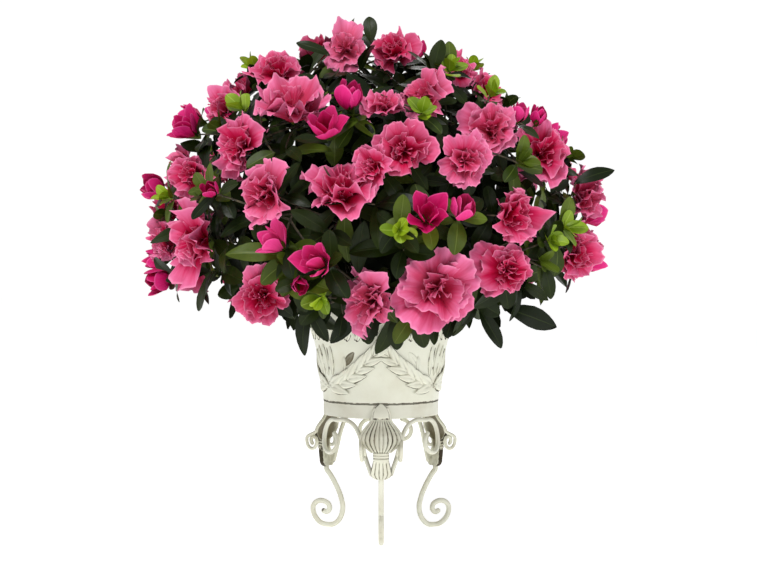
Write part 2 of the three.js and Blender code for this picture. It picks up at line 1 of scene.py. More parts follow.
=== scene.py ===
import math
import bpy
import numpy as np
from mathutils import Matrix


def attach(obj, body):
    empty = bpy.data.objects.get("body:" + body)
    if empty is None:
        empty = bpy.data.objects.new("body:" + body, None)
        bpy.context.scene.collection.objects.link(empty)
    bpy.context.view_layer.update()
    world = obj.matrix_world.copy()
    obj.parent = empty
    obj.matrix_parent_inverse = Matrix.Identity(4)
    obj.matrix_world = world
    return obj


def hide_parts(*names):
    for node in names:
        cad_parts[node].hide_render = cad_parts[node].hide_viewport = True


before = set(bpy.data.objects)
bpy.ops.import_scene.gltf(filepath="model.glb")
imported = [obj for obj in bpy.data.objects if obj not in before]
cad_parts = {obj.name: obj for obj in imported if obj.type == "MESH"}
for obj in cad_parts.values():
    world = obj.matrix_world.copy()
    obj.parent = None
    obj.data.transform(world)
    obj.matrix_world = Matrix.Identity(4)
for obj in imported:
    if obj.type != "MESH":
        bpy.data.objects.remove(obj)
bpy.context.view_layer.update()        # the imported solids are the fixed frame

mm = 0.001
fullTurn = 2 * math.pi


# camera, floor and lights

view = {
    "distance": 1526,        # mm from the pot's axis
    "height": 286,
    "sideways": -2.7,
    "pitch": -0.51,          # degrees, slightly down
    "fieldOfView": 30.25,    # degrees across the frame
}

studio = {
    "paper": (0.9, 0.9, 0.9, 1),
    "paperGlow": 0.56,
    "paperRoughness": 0.9,
    "floorSize": 24,         # metres
    "floorDrop": 0.0004,     # keeps the paper just under the feet
    "light": (1, 1, 1, 1),
    "skyGlow": 0.5,          # light from the white room
    "backdrop": 1.02,        # how bright the room looks behind the plant
}

# Each lamp: where it stands, what it aims at, its width in metres and its power.
lamps = {
    "keyLight": ((-0.7, -1.8, 2.2), (0, 0, 0.3), 0.9, 40),
    "fillLight": ((1.8, -1.5, 0.9), (0, 0, 0.25), 1.4, 10),
    "rimLight": ((0.4, 1.9, 1.7), (0, 0, 0.4), 1.0, 7),
}


def addObject(name, data):
    thing = bpy.data.objects.new(name, data)
    bpy.context.scene.collection.objects.link(thing)
    return thing


def makeCamera():
    data = bpy.data.cameras.new("studioCamera")
    data.sensor_width = 36
    data.angle = math.radians(view["fieldOfView"])
    camera = addObject("studioCamera", data)
    camera.location = (view["sideways"] * mm, -view["distance"] * mm, view["height"] * mm)
    camera.rotation_euler = (math.radians(90 + view["pitch"]), 0, 0)
    bpy.context.scene.camera = camera


def makeFloor():
    half = studio["floorSize"] / 2
    mesh = bpy.data.meshes.new("studioFloor")
    mesh.from_pydata([(-half, -half, 0), (half, -half, 0), (half, half, 0), (-half, half, 0)], [], [(0, 1, 2, 3)])
    floor = addObject("studioFloor", mesh)
    floor.location.z = -studio["floorDrop"]
    paper = bpy.data.materials.new("whitePaper")
    paper.use_nodes = True
    shader = paper.node_tree.nodes["Principled BSDF"]
    shader.inputs["Base Color"].default_value = studio["paper"]
    shader.inputs["Roughness"].default_value = studio["paperRoughness"]
    shader.inputs["Emission Color"].default_value = studio["light"]
    shader.inputs["Emission Strength"].default_value = studio["paperGlow"]
    mesh.materials.append(paper)


def makeRoom():
    world = bpy.data.worlds.new("studioWorld")
    world.use_nodes = True
    tree = world.node_tree
    room, backdrop = tree.nodes["Background"], tree.nodes.new("ShaderNodeBackground")
    for background, strength in ((room, studio["skyGlow"]), (backdrop, studio["backdrop"])):
        background.inputs["Color"].default_value = studio["light"]
        background.inputs["Strength"].default_value = strength
    seen = tree.nodes.new("ShaderNodeLightPath")
    mix = tree.nodes.new("ShaderNodeMixShader")
    tree.links.new(seen.outputs["Is Camera Ray"], mix.inputs[0])
    tree.links.new(room.outputs[0], mix.inputs[1])
    tree.links.new(backdrop.outputs[0], mix.inputs[2])
    tree.links.new(mix.outputs[0], tree.nodes["World Output"].inputs["Surface"])
    bpy.context.scene.world = world
    bpy.context.scene.view_settings.view_transform = "Standard"


def makeLamps():
    for name, (place, target, size, power) in lamps.items():
        data = bpy.data.lights.new(name, "AREA")
        data.shape = "DISK"
        data.size = size
        data.energy = power
        aim = np.array(target) - np.array(place)
        aim = aim / np.linalg.norm(aim)
        lamp = addObject(name, data)
        lamp.location = place
        lamp.rotation_euler = (math.acos(-aim[2]), 0, math.atan2(aim[1], aim[0]) - math.pi / 2)


makeCamera()
makeFloor()
makeRoom()
makeLamps()
print("stage: camera, floor and lights")


# small tools that several pieces share

# The way from the crown's middle: azimuth 0 is the front, and 90 is the right side.
def toward(azimuth, elevation=0.0):
    around, up = math.radians(azimuth), math.radians(elevation)
    return np.array([math.cos(up) * math.sin(around), -math.cos(up) * math.cos(around), math.sin(up)])


def between(keys, at):
    return np.interp(at, [key[0] for key in keys], [key[1] for key in keys])


# How far a value has come up a slope, from 0 to 1. With a negative width the slope starts from above.
def rise(value, start, width):
    return np.clip((value - start) / width, 0, 1)


# A bump of height 1 about a middle.
def swell(value, middle, width):
    return np.exp(-((value - middle) / width) ** 2)


def turns(count):
    return np.linspace(0, fullTurn, count, endpoint=False)


def unit(vector):
    return vector / max(np.linalg.norm(vector), 1e-9)


def seededRandom(seed):
    state = seed & 0xffffffff

    def draw():
        nonlocal state
        state = (state + 0x6d2b79f5) & 0xffffffff
        mixed = ((state ^ (state >> 15)) * (state | 1)) & 0xffffffff
        mixed ^= (mixed + (((mixed ^ (mixed >> 7)) * (mixed | 61)) & 0xffffffff)) & 0xffffffff
        return (mixed ^ (mixed >> 14)) / 4294967296
    return draw


def turned(vector, axis, angle):
    return (vector * math.cos(angle) + np.cross(axis, vector) * math.sin(angle)
            + axis * np.dot(axis, vector) * (1 - math.cos(angle)))


# A direction square to the given one, steady for any that isn't close to this slanted one.
def sidewaysOf(direction):
    return unit(np.cross(direction, np.array([0.3, 0.2, 1.0])))


def slide(first, last, start, end, at):
    return first * (end - at) / (end - start) + last * (at - start) / (end - start)


# Centripetal route through given points, evenly spaced along its length.
def smoothRoute(points, count):
    points = np.array(points, float)
    padded = np.vstack([2 * points[0] - points[1], points, 2 * points[-1] - points[-2]])
    dense = []
    for i in range(len(padded) - 3):
        p0, p1, p2, p3 = padded[i:i + 4]
        t1 = np.linalg.norm(p1 - p0) ** 0.5
        t2 = t1 + np.linalg.norm(p2 - p1) ** 0.5
        t3 = t2 + np.linalg.norm(p3 - p2) ** 0.5
        for t in np.linspace(t1, t2, 12, endpoint=False):
            first, second, third = slide(p0, p1, 0, t1, t), slide(p1, p2, t1, t2, t), slide(p2, p3, t2, t3, t)
            dense.append(slide(slide(first, second, 0, t2, t), slide(second, third, t1, t3, t), t1, t2, t))
    dense = np.array(dense + [points[-1]])
    steps = np.r_[0, np.cumsum(np.linalg.norm(np.diff(dense, axis=0), axis=1))]
    wanted = np.linspace(0, steps[-1], count)
    return np.stack([np.interp(wanted, steps, dense[:, axis]) for axis in range(3)], axis=1)


def bendAt(start, control, end, share):
    return start * (1 - share) ** 2 + control * 2 * share * (1 - share) + end * share ** 2


def bendLine(start, control, end, count):
    return np.array([bendAt(start, control, end, share) for share in np.linspace(0, 1, count)])


# Marks are four numbers for each point, which the finishes read as the colour attribute "marks".
def markGrid(grid, *channels):
    marks = np.zeros(grid.shape[:2] + (4,))
    for channel, value in enumerate(channels):
        marks[..., channel] = value
    return marks


# A pile gathers grids of points into one mesh.
class Pile:
    def __init__(self):
        self.points, self.marks, self.quads = [], [], []
        self.count = 0

    def addGrid(self, grid, marks=0, closed=False):
        rows, columns = grid.shape[:2]
        numbers = np.arange(rows * columns).reshape(rows, columns) + self.count
        if closed:
            numbers = np.hstack([numbers, numbers[:, :1]])
        corners = [numbers[:-1, :-1], numbers[:-1, 1:], numbers[1:, 1:], numbers[1:, :-1]]
        self.quads.append(np.stack(corners, axis=-1).reshape(-1, 4))
        self.points.append(grid.reshape(-1, 3))
        self.marks.append(np.broadcast_to(marks, grid.shape[:2] + (4,)).reshape(-1, 4))
        self.count += rows * columns

    def addTube(self, route, radii, sides, marks=0):
        self.addGrid(tubeGrid(route, radii, sides), marks, closed=True)


def makePiece(name, pile, finishName, nodes=()):
    points = np.concatenate(pile.points) * mm
    quads = np.concatenate(pile.quads)
    mesh = bpy.data.meshes.new(name)
    mesh.vertices.add(len(points))
    mesh.vertices.foreach_set("co", points.astype(np.float32).ravel())
    mesh.loops.add(quads.size)
    mesh.loops.foreach_set("vertex_index", quads.astype(np.int32).ravel())
    mesh.polygons.add(len(quads))
    mesh.polygons.foreach_set("loop_start", np.arange(0, quads.size, 4, dtype=np.int32))
    mesh.update(calc_edges=True)
    mesh.validate()
    mesh.polygons.foreach_set("use_smooth", np.ones(len(mesh.polygons), bool))
    layer = mesh.color_attributes.new("marks", "FLOAT_COLOR", "POINT")
    layer.data.foreach_set("color", np.concatenate(pile.marks).astype(np.float32).ravel())
    mesh.materials.append(finishes[finishName])
    piece = addObject(name, mesh)
    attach(piece, "root")
    if nodes:
        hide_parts(*nodes)
    print("  piece", name, len(mesh.polygons) * 2, "triangles")


def makeClosedPiece(name, grid, marks, finishName, node):
    pile = Pile()
    pile.addGrid(grid, marks, closed=True)
    makePiece(name, pile, finishName, (node,))


# Rings along a route: a rod, a stem or a twig, with rounded ends.
def tubeGrid(route, radii, sides):
    route = np.array(route)
    radii = np.broadcast_to(np.array(radii, float), (len(route),)).copy()
    heading = np.gradient(route, axis=0)
    heading /= np.linalg.norm(heading, axis=1)[:, None]
    for out, size in ((0.6, 0.8), (0.5, 0.02)):
        before = route[0] - heading[0] * radii[1] * out
        beyond = route[-1] + heading[-1] * radii[-2] * out
        route = np.vstack([before, route, beyond])
        radii = np.r_[radii[0] * size, radii, radii[-1] * size]
        heading = np.vstack([heading[0], heading, heading[-1]])
    across = sidewaysOf(heading[0])
    angles = turns(sides)[:, None]
    rings = []
    for place, ahead, radius in zip(route, heading, radii):
        across = unit(across - ahead * np.dot(across, ahead))
        square = np.cross(ahead, across)
        rings.append(place + radius * (np.cos(angles) * across + np.sin(angles) * square))
    return np.array(rings)


# node groups that several finishes share

colourKind, numberKind = "NodeSocketColor", "NodeSocketFloat"


# A net puts nodes into one tree. An input takes a number, a colour or another node's output.
class Net:
    def __init__(self, tree):
        self.tree = tree

    def put(self, kind, inputs, **settings):
        node = self.tree.nodes.new("ShaderNode" + kind)
        for label, value in settings.items():
            setattr(node, label, value)
        for label, value in inputs.items():
            if isinstance(value, bpy.types.NodeSocket):
                self.tree.links.new(value, node.inputs[label])
            else:
                node.inputs[label].default_value = value
        return node.outputs

    def add(self, first, second):
        return self.put("Math", {0: first, 1: second}, operation="ADD")[0]

    def less(self, first, second):
        return self.put("Math", {0: first, 1: second}, operation="SUBTRACT")[0]

    def times(self, first, second, clamp=False):
        return self.put("Math", {0: first, 1: second}, operation="MULTIPLY", use_clamp=clamp)[0]

    def mix(self, share, low, high):
        return self.put("Mix", {0: share, 6: low, 7: high}, data_type="RGBA")[2]

    def ramp(self, value, ends):
        inputs = {"Value": value, "From Min": ends[0], "From Max": ends[1]}
        return self.put("MapRange", inputs, interpolation_type="SMOOTHSTEP")["Result"]

    def noise(self, scale, detail, stretch=None):
        place = self.put("TexCoord", {})["Object"]
        if stretch:
            place = self.put("Mapping", {"Vector": place, "Scale": stretch})["Vector"]
        return self.put("TexNoise", {"Vector": place, "Scale": scale, "Detail": detail})["Fac"]


# A group's named inputs. Each finish gives them its own values, or the marks that they read.
def startGroup(name, colours, numbers):
    tree = bpy.data.node_groups.new(name, "ShaderNodeTree")
    for labels, kind in ((colours, colourKind), (numbers, numberKind)):
        for label in labels:
            tree.interface.new_socket(name=label, in_out="INPUT", socket_type=kind)
    return Net(tree), tree.nodes.new("NodeGroupInput").outputs


def endGroup(net, **results):
    for label in results:
        kind = colourKind if label == "Colour" else numberKind
        net.tree.interface.new_socket(name=label, in_out="OUTPUT", socket_type=kind)
    end = net.tree.nodes.new("NodeGroupOutput")
    for label, value in results.items():
        net.tree.links.new(value, end.inputs[label])
    return net.tree


patinaAndShade = {
    "mottle": (38.0, 4.0), "mottleRamp": (0.38, 0.72), "mottleShare": 0.35,     # noise: scale and detail
    "fine": (900.0, 2.0), "fineShare": 0.25, "chipDetail": 5.0,
    "wornRamp": (0.62, 0.78), "stainRamp": (0.35, 0.9), "stainShare": 0.45,
    "sunkRamp": (0.3, 1.1), "sunkBreak": 0.35,
    "smooth": 0.36, "wornRough": 0.35, "mottleRough": 0.12, "fineHeight": 0.3,
}


# Rubbed antique paint: cream that is mottled, dark where the marks say, with broken edges. Where its second mark says,
# it turns an olive-brown that is painted shade as well as patina.
def makePatinaAndShadeGroup():
    net, given = startGroup("rubbedPatinaAndShade", ("Paint", "Aged paint", "Shade and patina", "Grime"),
                            ("Mark", "Shade and patina mark", "Chip scale", "Chip share"))
    mottle = net.ramp(net.noise(*patinaAndShade["mottle"]), patinaAndShade["mottleRamp"])
    paint = net.mix(net.times(mottle, patinaAndShade["mottleShare"]), given["Paint"], given["Aged paint"])
    chips, fine = net.noise(given["Chip scale"], patinaAndShade["chipDetail"]), net.noise(*patinaAndShade["fine"])
    broken = net.add(given["Mark"], net.add(chips, net.times(fine, patinaAndShade["fineShare"])))
    edge = net.less(broken, given["Chip share"])
    worn, stain = net.ramp(edge, patinaAndShade["wornRamp"]), net.ramp(edge, patinaAndShade["stainRamp"])
    stained = net.mix(net.times(stain, patinaAndShade["stainShare"]), paint, given["Aged paint"])
    # painted shade and patina in the hollows, where the second mark says
    sunk = net.add(given["Shade and patina mark"], net.times(chips, patinaAndShade["sunkBreak"]))
    shaded = net.mix(net.ramp(sunk, patinaAndShade["sunkRamp"]), stained, given["Shade and patina"])
    rough = net.add(net.times(worn, patinaAndShade["wornRough"]), net.times(mottle, patinaAndShade["mottleRough"]))
    return endGroup(net, Colour=net.mix(worn, shaded, given["Grime"]), Roughness=net.add(rough, patinaAndShade["smooth"]),
                    Height=net.less(net.times(fine, patinaAndShade["fineHeight"]), worn))


silk = {
    "streak": (15.0, 1.3, 40.0),      # across the petal, along it and from petal to petal
    "streakShare": 0.5, "depthShare": 0.3,
    "bodyRamp": (0.06, 0.6), "rimRamp": (0.48, 1.06), "rimHighlightRamp": (0.93, 1.0), "rimHighlightShare": 0.5,
    "paler": 0.42, "deeper": -0.7,
}


# Dyed silk petal: deep at the throat, paler at the rim, with faint streaks, and a thin light line along the rim that is
# a painted highlight.
def makePetalGroup():
    net, given = startGroup("dyedPetalAndRimHighlight", ("Rim", "Body", "Throat", "Pale tint and rim highlight"), ("Along", "Across", "Tone", "Depth"))
    grain = net.put("CombineXYZ", {axis: net.times(given[label], scale) for axis, label, scale
                                   in zip("XYZ", ("Across", "Along", "Tone"), silk["streak"])})["Vector"]
    streak = net.put("TexNoise", {"Scale": 1.0, "Vector": grain})["Fac"]
    grow = net.less(given["Along"], net.times(given["Depth"], silk["depthShare"]))
    grow = net.add(grow, net.times(net.less(streak, 0.5), silk["streakShare"]))
    body = net.mix(net.ramp(grow, silk["bodyRamp"]), given["Throat"], given["Body"])
    tinted = net.mix(net.ramp(grow, silk["rimRamp"]), body, given["Rim"])
    lift = net.less(given["Tone"], 0.5)
    paler = net.mix(net.times(lift, silk["paler"], True), tinted, given["Pale tint and rim highlight"])
    deeper = net.mix(net.times(lift, silk["deeper"], True), paler, given["Throat"])
    # painted highlight: a thin light line along the rim
    edge = net.times(net.ramp(given["Along"], silk["rimHighlightRamp"]), silk["rimHighlightShare"])
    return endGroup(net, Colour=net.mix(edge, deeper, given["Pale tint and rim highlight"]), Height=streak)


coat = {
    "blotch": (90.0, 4.0), "blotchLift": 0.35, "blotchRough": 0.14, "weave": (480.0, 3.0),
    "ribRamp": (0.55, 1.0), "ribShare": 0.6,
}


# Coated silk leaf: a paler rib, blotches in the blade, tone by leaf.
def makeLeafGroup():
    net, given = startGroup("coatedLeaf", ("Blade", "Fresh", "Rib"), ("Rib mark", "Tone", "Gloss"))
    blotch = net.noise(*coat["blotch"])
    fresh = net.times(given["Tone"], net.add(blotch, coat["blotchLift"]), True)
    blade = net.mix(fresh, given["Blade"], given["Fresh"])
    rib = net.ramp(given["Rib mark"], coat["ribRamp"])
    return endGroup(net, Colour=net.mix(net.times(rib, coat["ribShare"]), blade, given["Rib"]),
                    Roughness=net.add(given["Gloss"], net.times(blotch, coat["blotchRough"])),
                    Height=net.add(net.noise(*coat["weave"]), rib))


fibre = {"detail": 6.0, "stretch": (1, 1, 0.35), "ramp": (0.35, 0.68)}


# Fibrous ground: bark on the stems and dry moss in the pot.
def makeFibreGroup():
    net, given = startGroup("roughFibre", ("Dark", "Light"), ("Grain",))
    grain = net.noise(given["Grain"], fibre["detail"], fibre["stretch"])
    colour = net.mix(net.ramp(grain, fibre["ramp"]), given["Dark"], given["Light"])
    return endGroup(net, Colour=colour, Height=grain)


# Each group, and the channel of the marks that each of its inputs reads.
groups = {
    "patinaAndShade": (makePatinaAndShadeGroup(), {"Mark": "Red", "Shade and patina mark": "Green"}),
    "petal": (makePetalGroup(), {"Along": "Red", "Across": "Green", "Tone": "Blue", "Depth": "Alpha"}),
    "leaf": (makeLeafGroup(), {"Rib mark": "Green", "Tone": "Blue"}),
    "fibre": (makeFibreGroup(), {}),
}


# One finish: a group with its own values, the marks it reads, a bump (strength and depth in mm) and the shader.
def makeFinish(name, group, bump, settings, values):
    finish = bpy.data.materials.new(name)
    finish.use_nodes = True
    net = Net(finish.node_tree)
    tree, channels = groups[group]
    inputs = {label: value + (1,) if isinstance(value, tuple) else value for label, value in values.items()}
    if channels:
        marks = net.put("Attribute", {}, attribute_name="marks")
        split = net.put("SeparateColor", {"Color": marks["Color"]})
        for label, channel in channels.items():
            inputs[label] = marks["Alpha"] if channel == "Alpha" else split[channel]
    surface = net.put("Group", inputs, node_tree=tree)
    depth = {"Strength": bump[0], "Distance": bump[1] * mm, "Height": surface["Height"]}
    shader = net.tree.nodes["Principled BSDF"]
    net.tree.links.new(surface["Colour"], shader.inputs["Base Color"])
    net.tree.links.new(net.put("Bump", depth)["Normal"], shader.inputs["Normal"])
    if "Roughness" in surface:
        net.tree.links.new(surface["Roughness"], shader.inputs["Roughness"])
    for label, value in settings.items():
        shader.inputs[label].default_value = value
    return finish


# The olive-brown of the hollows is painted shade as well as patina. The grime is the paint's own dirt and patina.
dirtAndShade = {"Shade and patina": (0.13, 0.11, 0.055), "Grime": (0.042, 0.031, 0.014)}
finishes = {
    "potPaint": makeFinish("creamPotPaint", "patinaAndShade", (0.25, 0.25), {"Specular IOR Level": 0.5}, {
        **dirtAndShade, "Paint": (0.79, 0.80, 0.66), "Aged paint": (0.60, 0.57, 0.41),
        "Chip scale": 150.0, "Chip share": 0.5}),
    # This cream is set a little darker than the pot's, as painted shade for the thin rods.
    "rodPaint": makeFinish("creamRodPaint", "patinaAndShade", (0.3, 0.2), {"Specular IOR Level": 0.5}, {
        **dirtAndShade, "Paint": (0.72, 0.72, 0.60), "Aged paint": (0.46, 0.42, 0.29),
        "Chip scale": 220.0, "Chip share": 0.44}),
    "castPaint": makeFinish("creamCastPaint", "patinaAndShade", (0.35, 0.25), {"Specular IOR Level": 0.5}, {
        **dirtAndShade, "Paint": (0.74, 0.74, 0.61), "Aged paint": (0.47, 0.43, 0.29),
        "Chip scale": 260.0, "Chip share": 0.47}),
    "petalSilk": makeFinish("pinkPetalSilk", "petal", (0.4, 0.35), {"Roughness": 0.7, "Specular IOR Level": 0.03}, {
        "Rim": (0.76, 0.175, 0.36), "Body": (0.55, 0.012, 0.082), "Throat": (0.44, 0.0008, 0.024),
        "Pale tint and rim highlight": (0.90, 0.36, 0.54)}),
    "budSilk": makeFinish("magentaBudSilk", "petal", (0.3, 0.25), {"Roughness": 0.55, "Specular IOR Level": 0.1}, {
        "Rim": (0.72, 0.028, 0.22), "Body": (0.60, 0.006, 0.13), "Throat": (0.36, 0.003, 0.045),
        "Pale tint and rim highlight": (0.85, 0.15, 0.40)}),
    "darkLeaf": makeFinish("darkLeafCoat", "leaf", (0.35, 0.4), {"Specular IOR Level": 0.15}, {
        "Blade": (0.0045, 0.0095, 0.0015), "Fresh": (0.020, 0.033, 0.004), "Rib": (0.032, 0.048, 0.010),
        "Gloss": 0.3}),
    # Leaves deep in the crown take a darker copy of the leaf colours: painted shade.
    "deepLeaf": makeFinish("shadedLeafCoat", "leaf", (0.3, 0.3), {"Specular IOR Level": 0.05}, {
        "Blade": (0.0025, 0.0045, 0.0008), "Fresh": (0.008, 0.013, 0.002), "Rib": (0.015, 0.022, 0.005),
        "Gloss": 0.5}),
    "midLeaf": makeFinish("freshLeafCoat", "leaf", (0.3, 0.3), {"Specular IOR Level": 0.2}, {
        "Blade": (0.020, 0.036, 0.003), "Fresh": (0.10, 0.145, 0.010), "Rib": (0.14, 0.19, 0.035), "Gloss": 0.34}),
    "limeLeaf": makeFinish("limeSproutCoat", "leaf", (0.2, 0.2), {"Specular IOR Level": 0.4}, {
        "Blade": (0.13, 0.22, 0.004), "Fresh": (0.34, 0.48, 0.010), "Rib": (0.45, 0.58, 0.10), "Gloss": 0.4}),
    "bark": makeFinish("brownBark", "fibre", (0.7, 0.6), {"Roughness": 0.82}, {
        "Dark": (0.022, 0.018, 0.010), "Light": (0.085, 0.068, 0.035), "Grain": 260.0}),
    "moss": makeFinish("dryMoss", "fibre", (1.0, 1.5), {"Roughness": 0.95}, {
        "Dark": (0.018, 0.018, 0.008), "Light": (0.12, 0.11, 0.045), "Grain": 340.0}),
}

slotNames = dict.fromkeys(finishes, "azalea_foliage")
slotNames.update(dict.fromkeys(("potPaint", "rodPaint", "castPaint"), "antique_white_metal"))
slotNames.update(bark="stem_bark", moss="moss")
print("stage: finishes")


# pot, moss and collar

collar = {"radius": 62.6, "thickness": 1.0, "bottom": 130, "top": 145, "round": 160}

pot = {
    "foot": 59.5,
    "wall": 1.6,
    "neckTop": 145.2,
    "seat": (62.4, 145.3),            # radius and height where the wall leaves the collar
    "wallRows": (145.6, 248, 110),    # lowest and highest, and how many
    "flare": [(145.3, 62.8), (166, 64), (188, 68), (207.5, 72.5), (232, 77.8), (248, 82)],    # height, radius
    "lip": (83.4, 252),
    "bead": 231.5,           # height of the raised line above the leaf border
    "beadRise": 1.1,
    "rimGrime": 0.3,
    "round": 160,
}

# What every stamped leaf starts from. The lower the value of blunt, the rounder the leaf's ends. A leaf can also be
# given painted shade and patina over its whole face.
stamp = {"rows": 13, "columns": 9, "sunk": 0.25, "tilt": 0, "hollow": 0, "blunt": 0.7}

wreath = {
    "middles": (-60, 60, 180),
    "line": [(0, 163), (14, 165), (27, 171), (43, 185), (53, 196), (57, 202)],   # degrees from the middle, height
    "leaves": 6,
    "splay": 23,
    "tipSize": 0.58,
    "outerGrime": 1.0,
    "innerGrime": 0.72,
    # tilt: each leaf's tip lies over the next leaf's root
    "leaf": {"length": 34, "width": 12.6, "rise": 2.3, "tilt": 1.7, "hollow": 0.1, "blunt": 0.92},
}

# Rows say degrees from the motif's middle, height, length and turn.
palmette = {
    "uprights": [(-13, 188, 30, -9), (-6, 190, 34, -4), (1.5, 191, 36, 0), (10, 190, 34, 6)],
    "slots": [(-8.5, 190, 11, -4), (-2.4, 190, 11, 0), (6, 192, 25, 3)],
    "upright": {"width": 7.8, "rise": 2.5, "grime": 0.62},
    "slot": {"width": 2.4, "rise": 1.9, "grime": 2.2},
    "upperBract": {"length": 21, "width": 8.5, "rise": 0.9, "grime": 0.55},
    "lowerBract": {"length": 18, "width": 6.0, "rise": 1.8, "grime": 0.7},
    # a darker patch on one upper bract, laid on through its painted shade and patina mark
    "stain": 1.1,
    "mirrored": 60,
}

border = {
    "count": 40, "height": 219.25, "turn": 22, "apart": 3.6,
    "leaf": {"length": 18.5, "width": 6.6, "rise": 1.5, "grime": 0.9},
    "smallLeaf": {"length": 15.725, "width": 4.62, "rise": 1.0, "grime": 0.9},
}

moss = {
    "height": 240, "crown": 243, "clump": 0.56, "lumps": 14, "rows": 34, "round": 110,
    "skirt": [(74.5, 236), (59, 150), (57, 134), (0.5, 134)],    # radius, height, down the inside of the pot
}


def wallRadius(height):
    return between(pot["flare"], height)


def smoothRadius(height):
    near = [wallRadius(height + step) for step in (-5, -2.5, 0, 2.5, 5)]
    return np.mean(near) if 150 < height < 243 else wallRadius(height)


# Points at angles round the axis: radius and height are numbers or arrays.
def roundAxis(radius, angles, height):
    return np.stack([radius * np.sin(angles), -radius * np.cos(angles), height + 0 * angles], axis=-1)


def latheGrid(profile, around):
    profile = np.array(profile, float)
    return roundAxis(profile[:, :1], turns(around), profile[:, 1:])


def addWall(pile):
    heights = np.linspace(*pot["wallRows"])
    radii = np.array([smoothRadius(height) for height in heights])
    outside = list(zip(radii + pot["beadRise"] * swell(heights, pot["bead"], 1.1), heights))
    lip, top = pot["lip"]
    low = collar["bottom"] + 0.3
    neck = collar["radius"] - collar["thickness"] - 0.3
    foot = [(0.5, low), (pot["foot"] - 1, low), (pot["foot"], low + 1), (neck, pot["neckTop"]), pot["seat"]]
    rim = [(lip, top - 2.6), (lip + 0.2, top - 1), (lip - 0.8, top), (lip - 2.2, top), (lip - 3, top - 1.4)]
    inside = [(radius - pot["wall"], height + 0.5) for radius, height in list(zip(radii, heights))[::10]]
    floorRows = [(pot["foot"] - pot["wall"], low + 2), (0.5, low + 2)]
    grid = latheGrid(foot + outside + rim + inside[::-1] + floorRows, pot["round"])
    marks = markGrid(grid)
    first, last = len(foot), len(foot) + len(outside)
    grime = 0.42 * swell(abs(heights - pot["bead"]), 2.0, 0.8) + 0.8 * swell(heights, heights[0], 1.4)
    marks[first:last, :, 0] = grime[:, None]
    marks[last:last + len(rim), :, 0] = pot["rimGrime"]
    pile.addGrid(grid, marks, closed=True)


# Domed with steep sides, creased along its rib, and dark all round its edge or along one side of it.
def stampedLeaf(pile, azimuth, height, turn, form, darkSide=0):
    form = dict(stamp, **form)
    grime = form["grime"]
    along = np.linspace(0, 1, form["rows"])[:, None]
    across = np.sin(np.linspace(-1, 1, form["columns"]) * math.pi / 2)[None, :]
    side = across * form["width"] / 2 * np.maximum(np.sin(math.pi * along ** 0.85), 0) ** form["blunt"]
    forward = (along - 0.5) * form["length"] + 0 * across
    crease = swell(across, 0, 0.2)
    dome = np.clip(1 - np.abs(across) ** 2.6, 0, 1) ** 0.5 * np.clip(np.sin(math.pi * along), 0, 1) ** 0.35
    lift = form["rise"] * dome * (1 - 0.42 * crease) - form["sunk"] + form["tilt"] * along
    angle = math.radians(turn)
    sideways = side * math.cos(angle) + forward * math.sin(angle)
    high = height + forward * math.cos(angle) - side * math.sin(angle)
    grid = roundAxis(wallRadius(high) + lift, math.radians(azimuth) + sideways / wallRadius(height), high)
    marks = markGrid(grid)
    edge = rise(np.abs(across), 0.72, 0.24) + 0 * along
    if darkSide:
        edge = edge * np.where(across * darkSide > 0, 1, 0.25) * np.clip(along * 2.2, 0, 1)
        marks[-1, :, 0] = grime * 0.7
    else:
        marks[:2, :, 0] = marks[-1, :, 0] = grime
    marks[..., 0] = np.maximum(marks[..., 0], np.maximum(edge * grime, crease * 0.3 * grime * (along < 0.7)))
    # The second mark paints shade and patina into the crease, along the edges and near the root, where the relief meets
    # the wall.
    sunk = form["hollow"] * (0.5 + 0.5 * np.abs(across)) + 0.62 * crease * (1 - along)
    marks[..., 1] = np.clip(sunk + 0.5 * edge + 0.5 * (1 - dome) * (along < 0.3), 0, 1)
    pile.addGrid(grid, marks)


def wreathPlace(share):
    turn = wreath["line"][-1][0] * (1 - (1 - share) ** 1.25)
    return turn, float(between(wreath["line"], turn))


# Leaves in pairs along each half of a wreath, smaller towards its tip.
def addWreath(pile, middle, random):
    leaf = wreath["leaf"]
    reach = leaf["length"] * 0.3
    for hand in (-1, 1):
        for i in range(wreath["leaves"]):
            share = (i + 0.4) / (wreath["leaves"] + 0.2)
            turn, height = wreathPlace(share)
            nextTurn, nextHeight = wreathPlace(share + 0.05)
            across = math.radians(nextTurn - turn) * wallRadius(height)
            heading = math.degrees(math.atan2(across, nextHeight - height))
            for side, grime in ((-1, wreath["innerGrime"]), (1, wreath["outerGrime"])):
                lean = heading + side * wreath["splay"]
                size = (0.88 + 0.2 * random()) * (1 - (1 - wreath["tipSize"]) * share)
                azimuth = turn + math.degrees(reach * math.sin(math.radians(lean)) / wallRadius(height))
                form = dict(leaf, length=leaf["length"] * size, width=leaf["width"] * size, grime=grime)
                stampedLeaf(pile, middle + hand * azimuth, height + reach * math.cos(math.radians(lean)),
                            hand * lean, form, hand * side)


# Upright motif inside each wreath: a fan of tall leaves with dark slots between them.
def addPalmette(pile, middle):
    side = -1 if middle == palmette["mirrored"] else 1
    for rows, name, dark in (("uprights", "upright", side), ("slots", "slot", 0)):
        for offset, height, length, turn in palmette[rows]:
            form = dict(palmette[name], length=length)
            stampedLeaf(pile, middle + side * offset, height, side * turn, form, dark)
    for hand in (-1, 1):
        stain = palmette["stain"] if hand == side == 1 else 0
        stampedLeaf(pile, middle + hand * 31, 193, hand * 42, dict(palmette["upperBract"], hollow=stain), -hand)
        stampedLeaf(pile, middle + hand * 25, 187, hand * 10, palmette["lowerBract"], -hand)


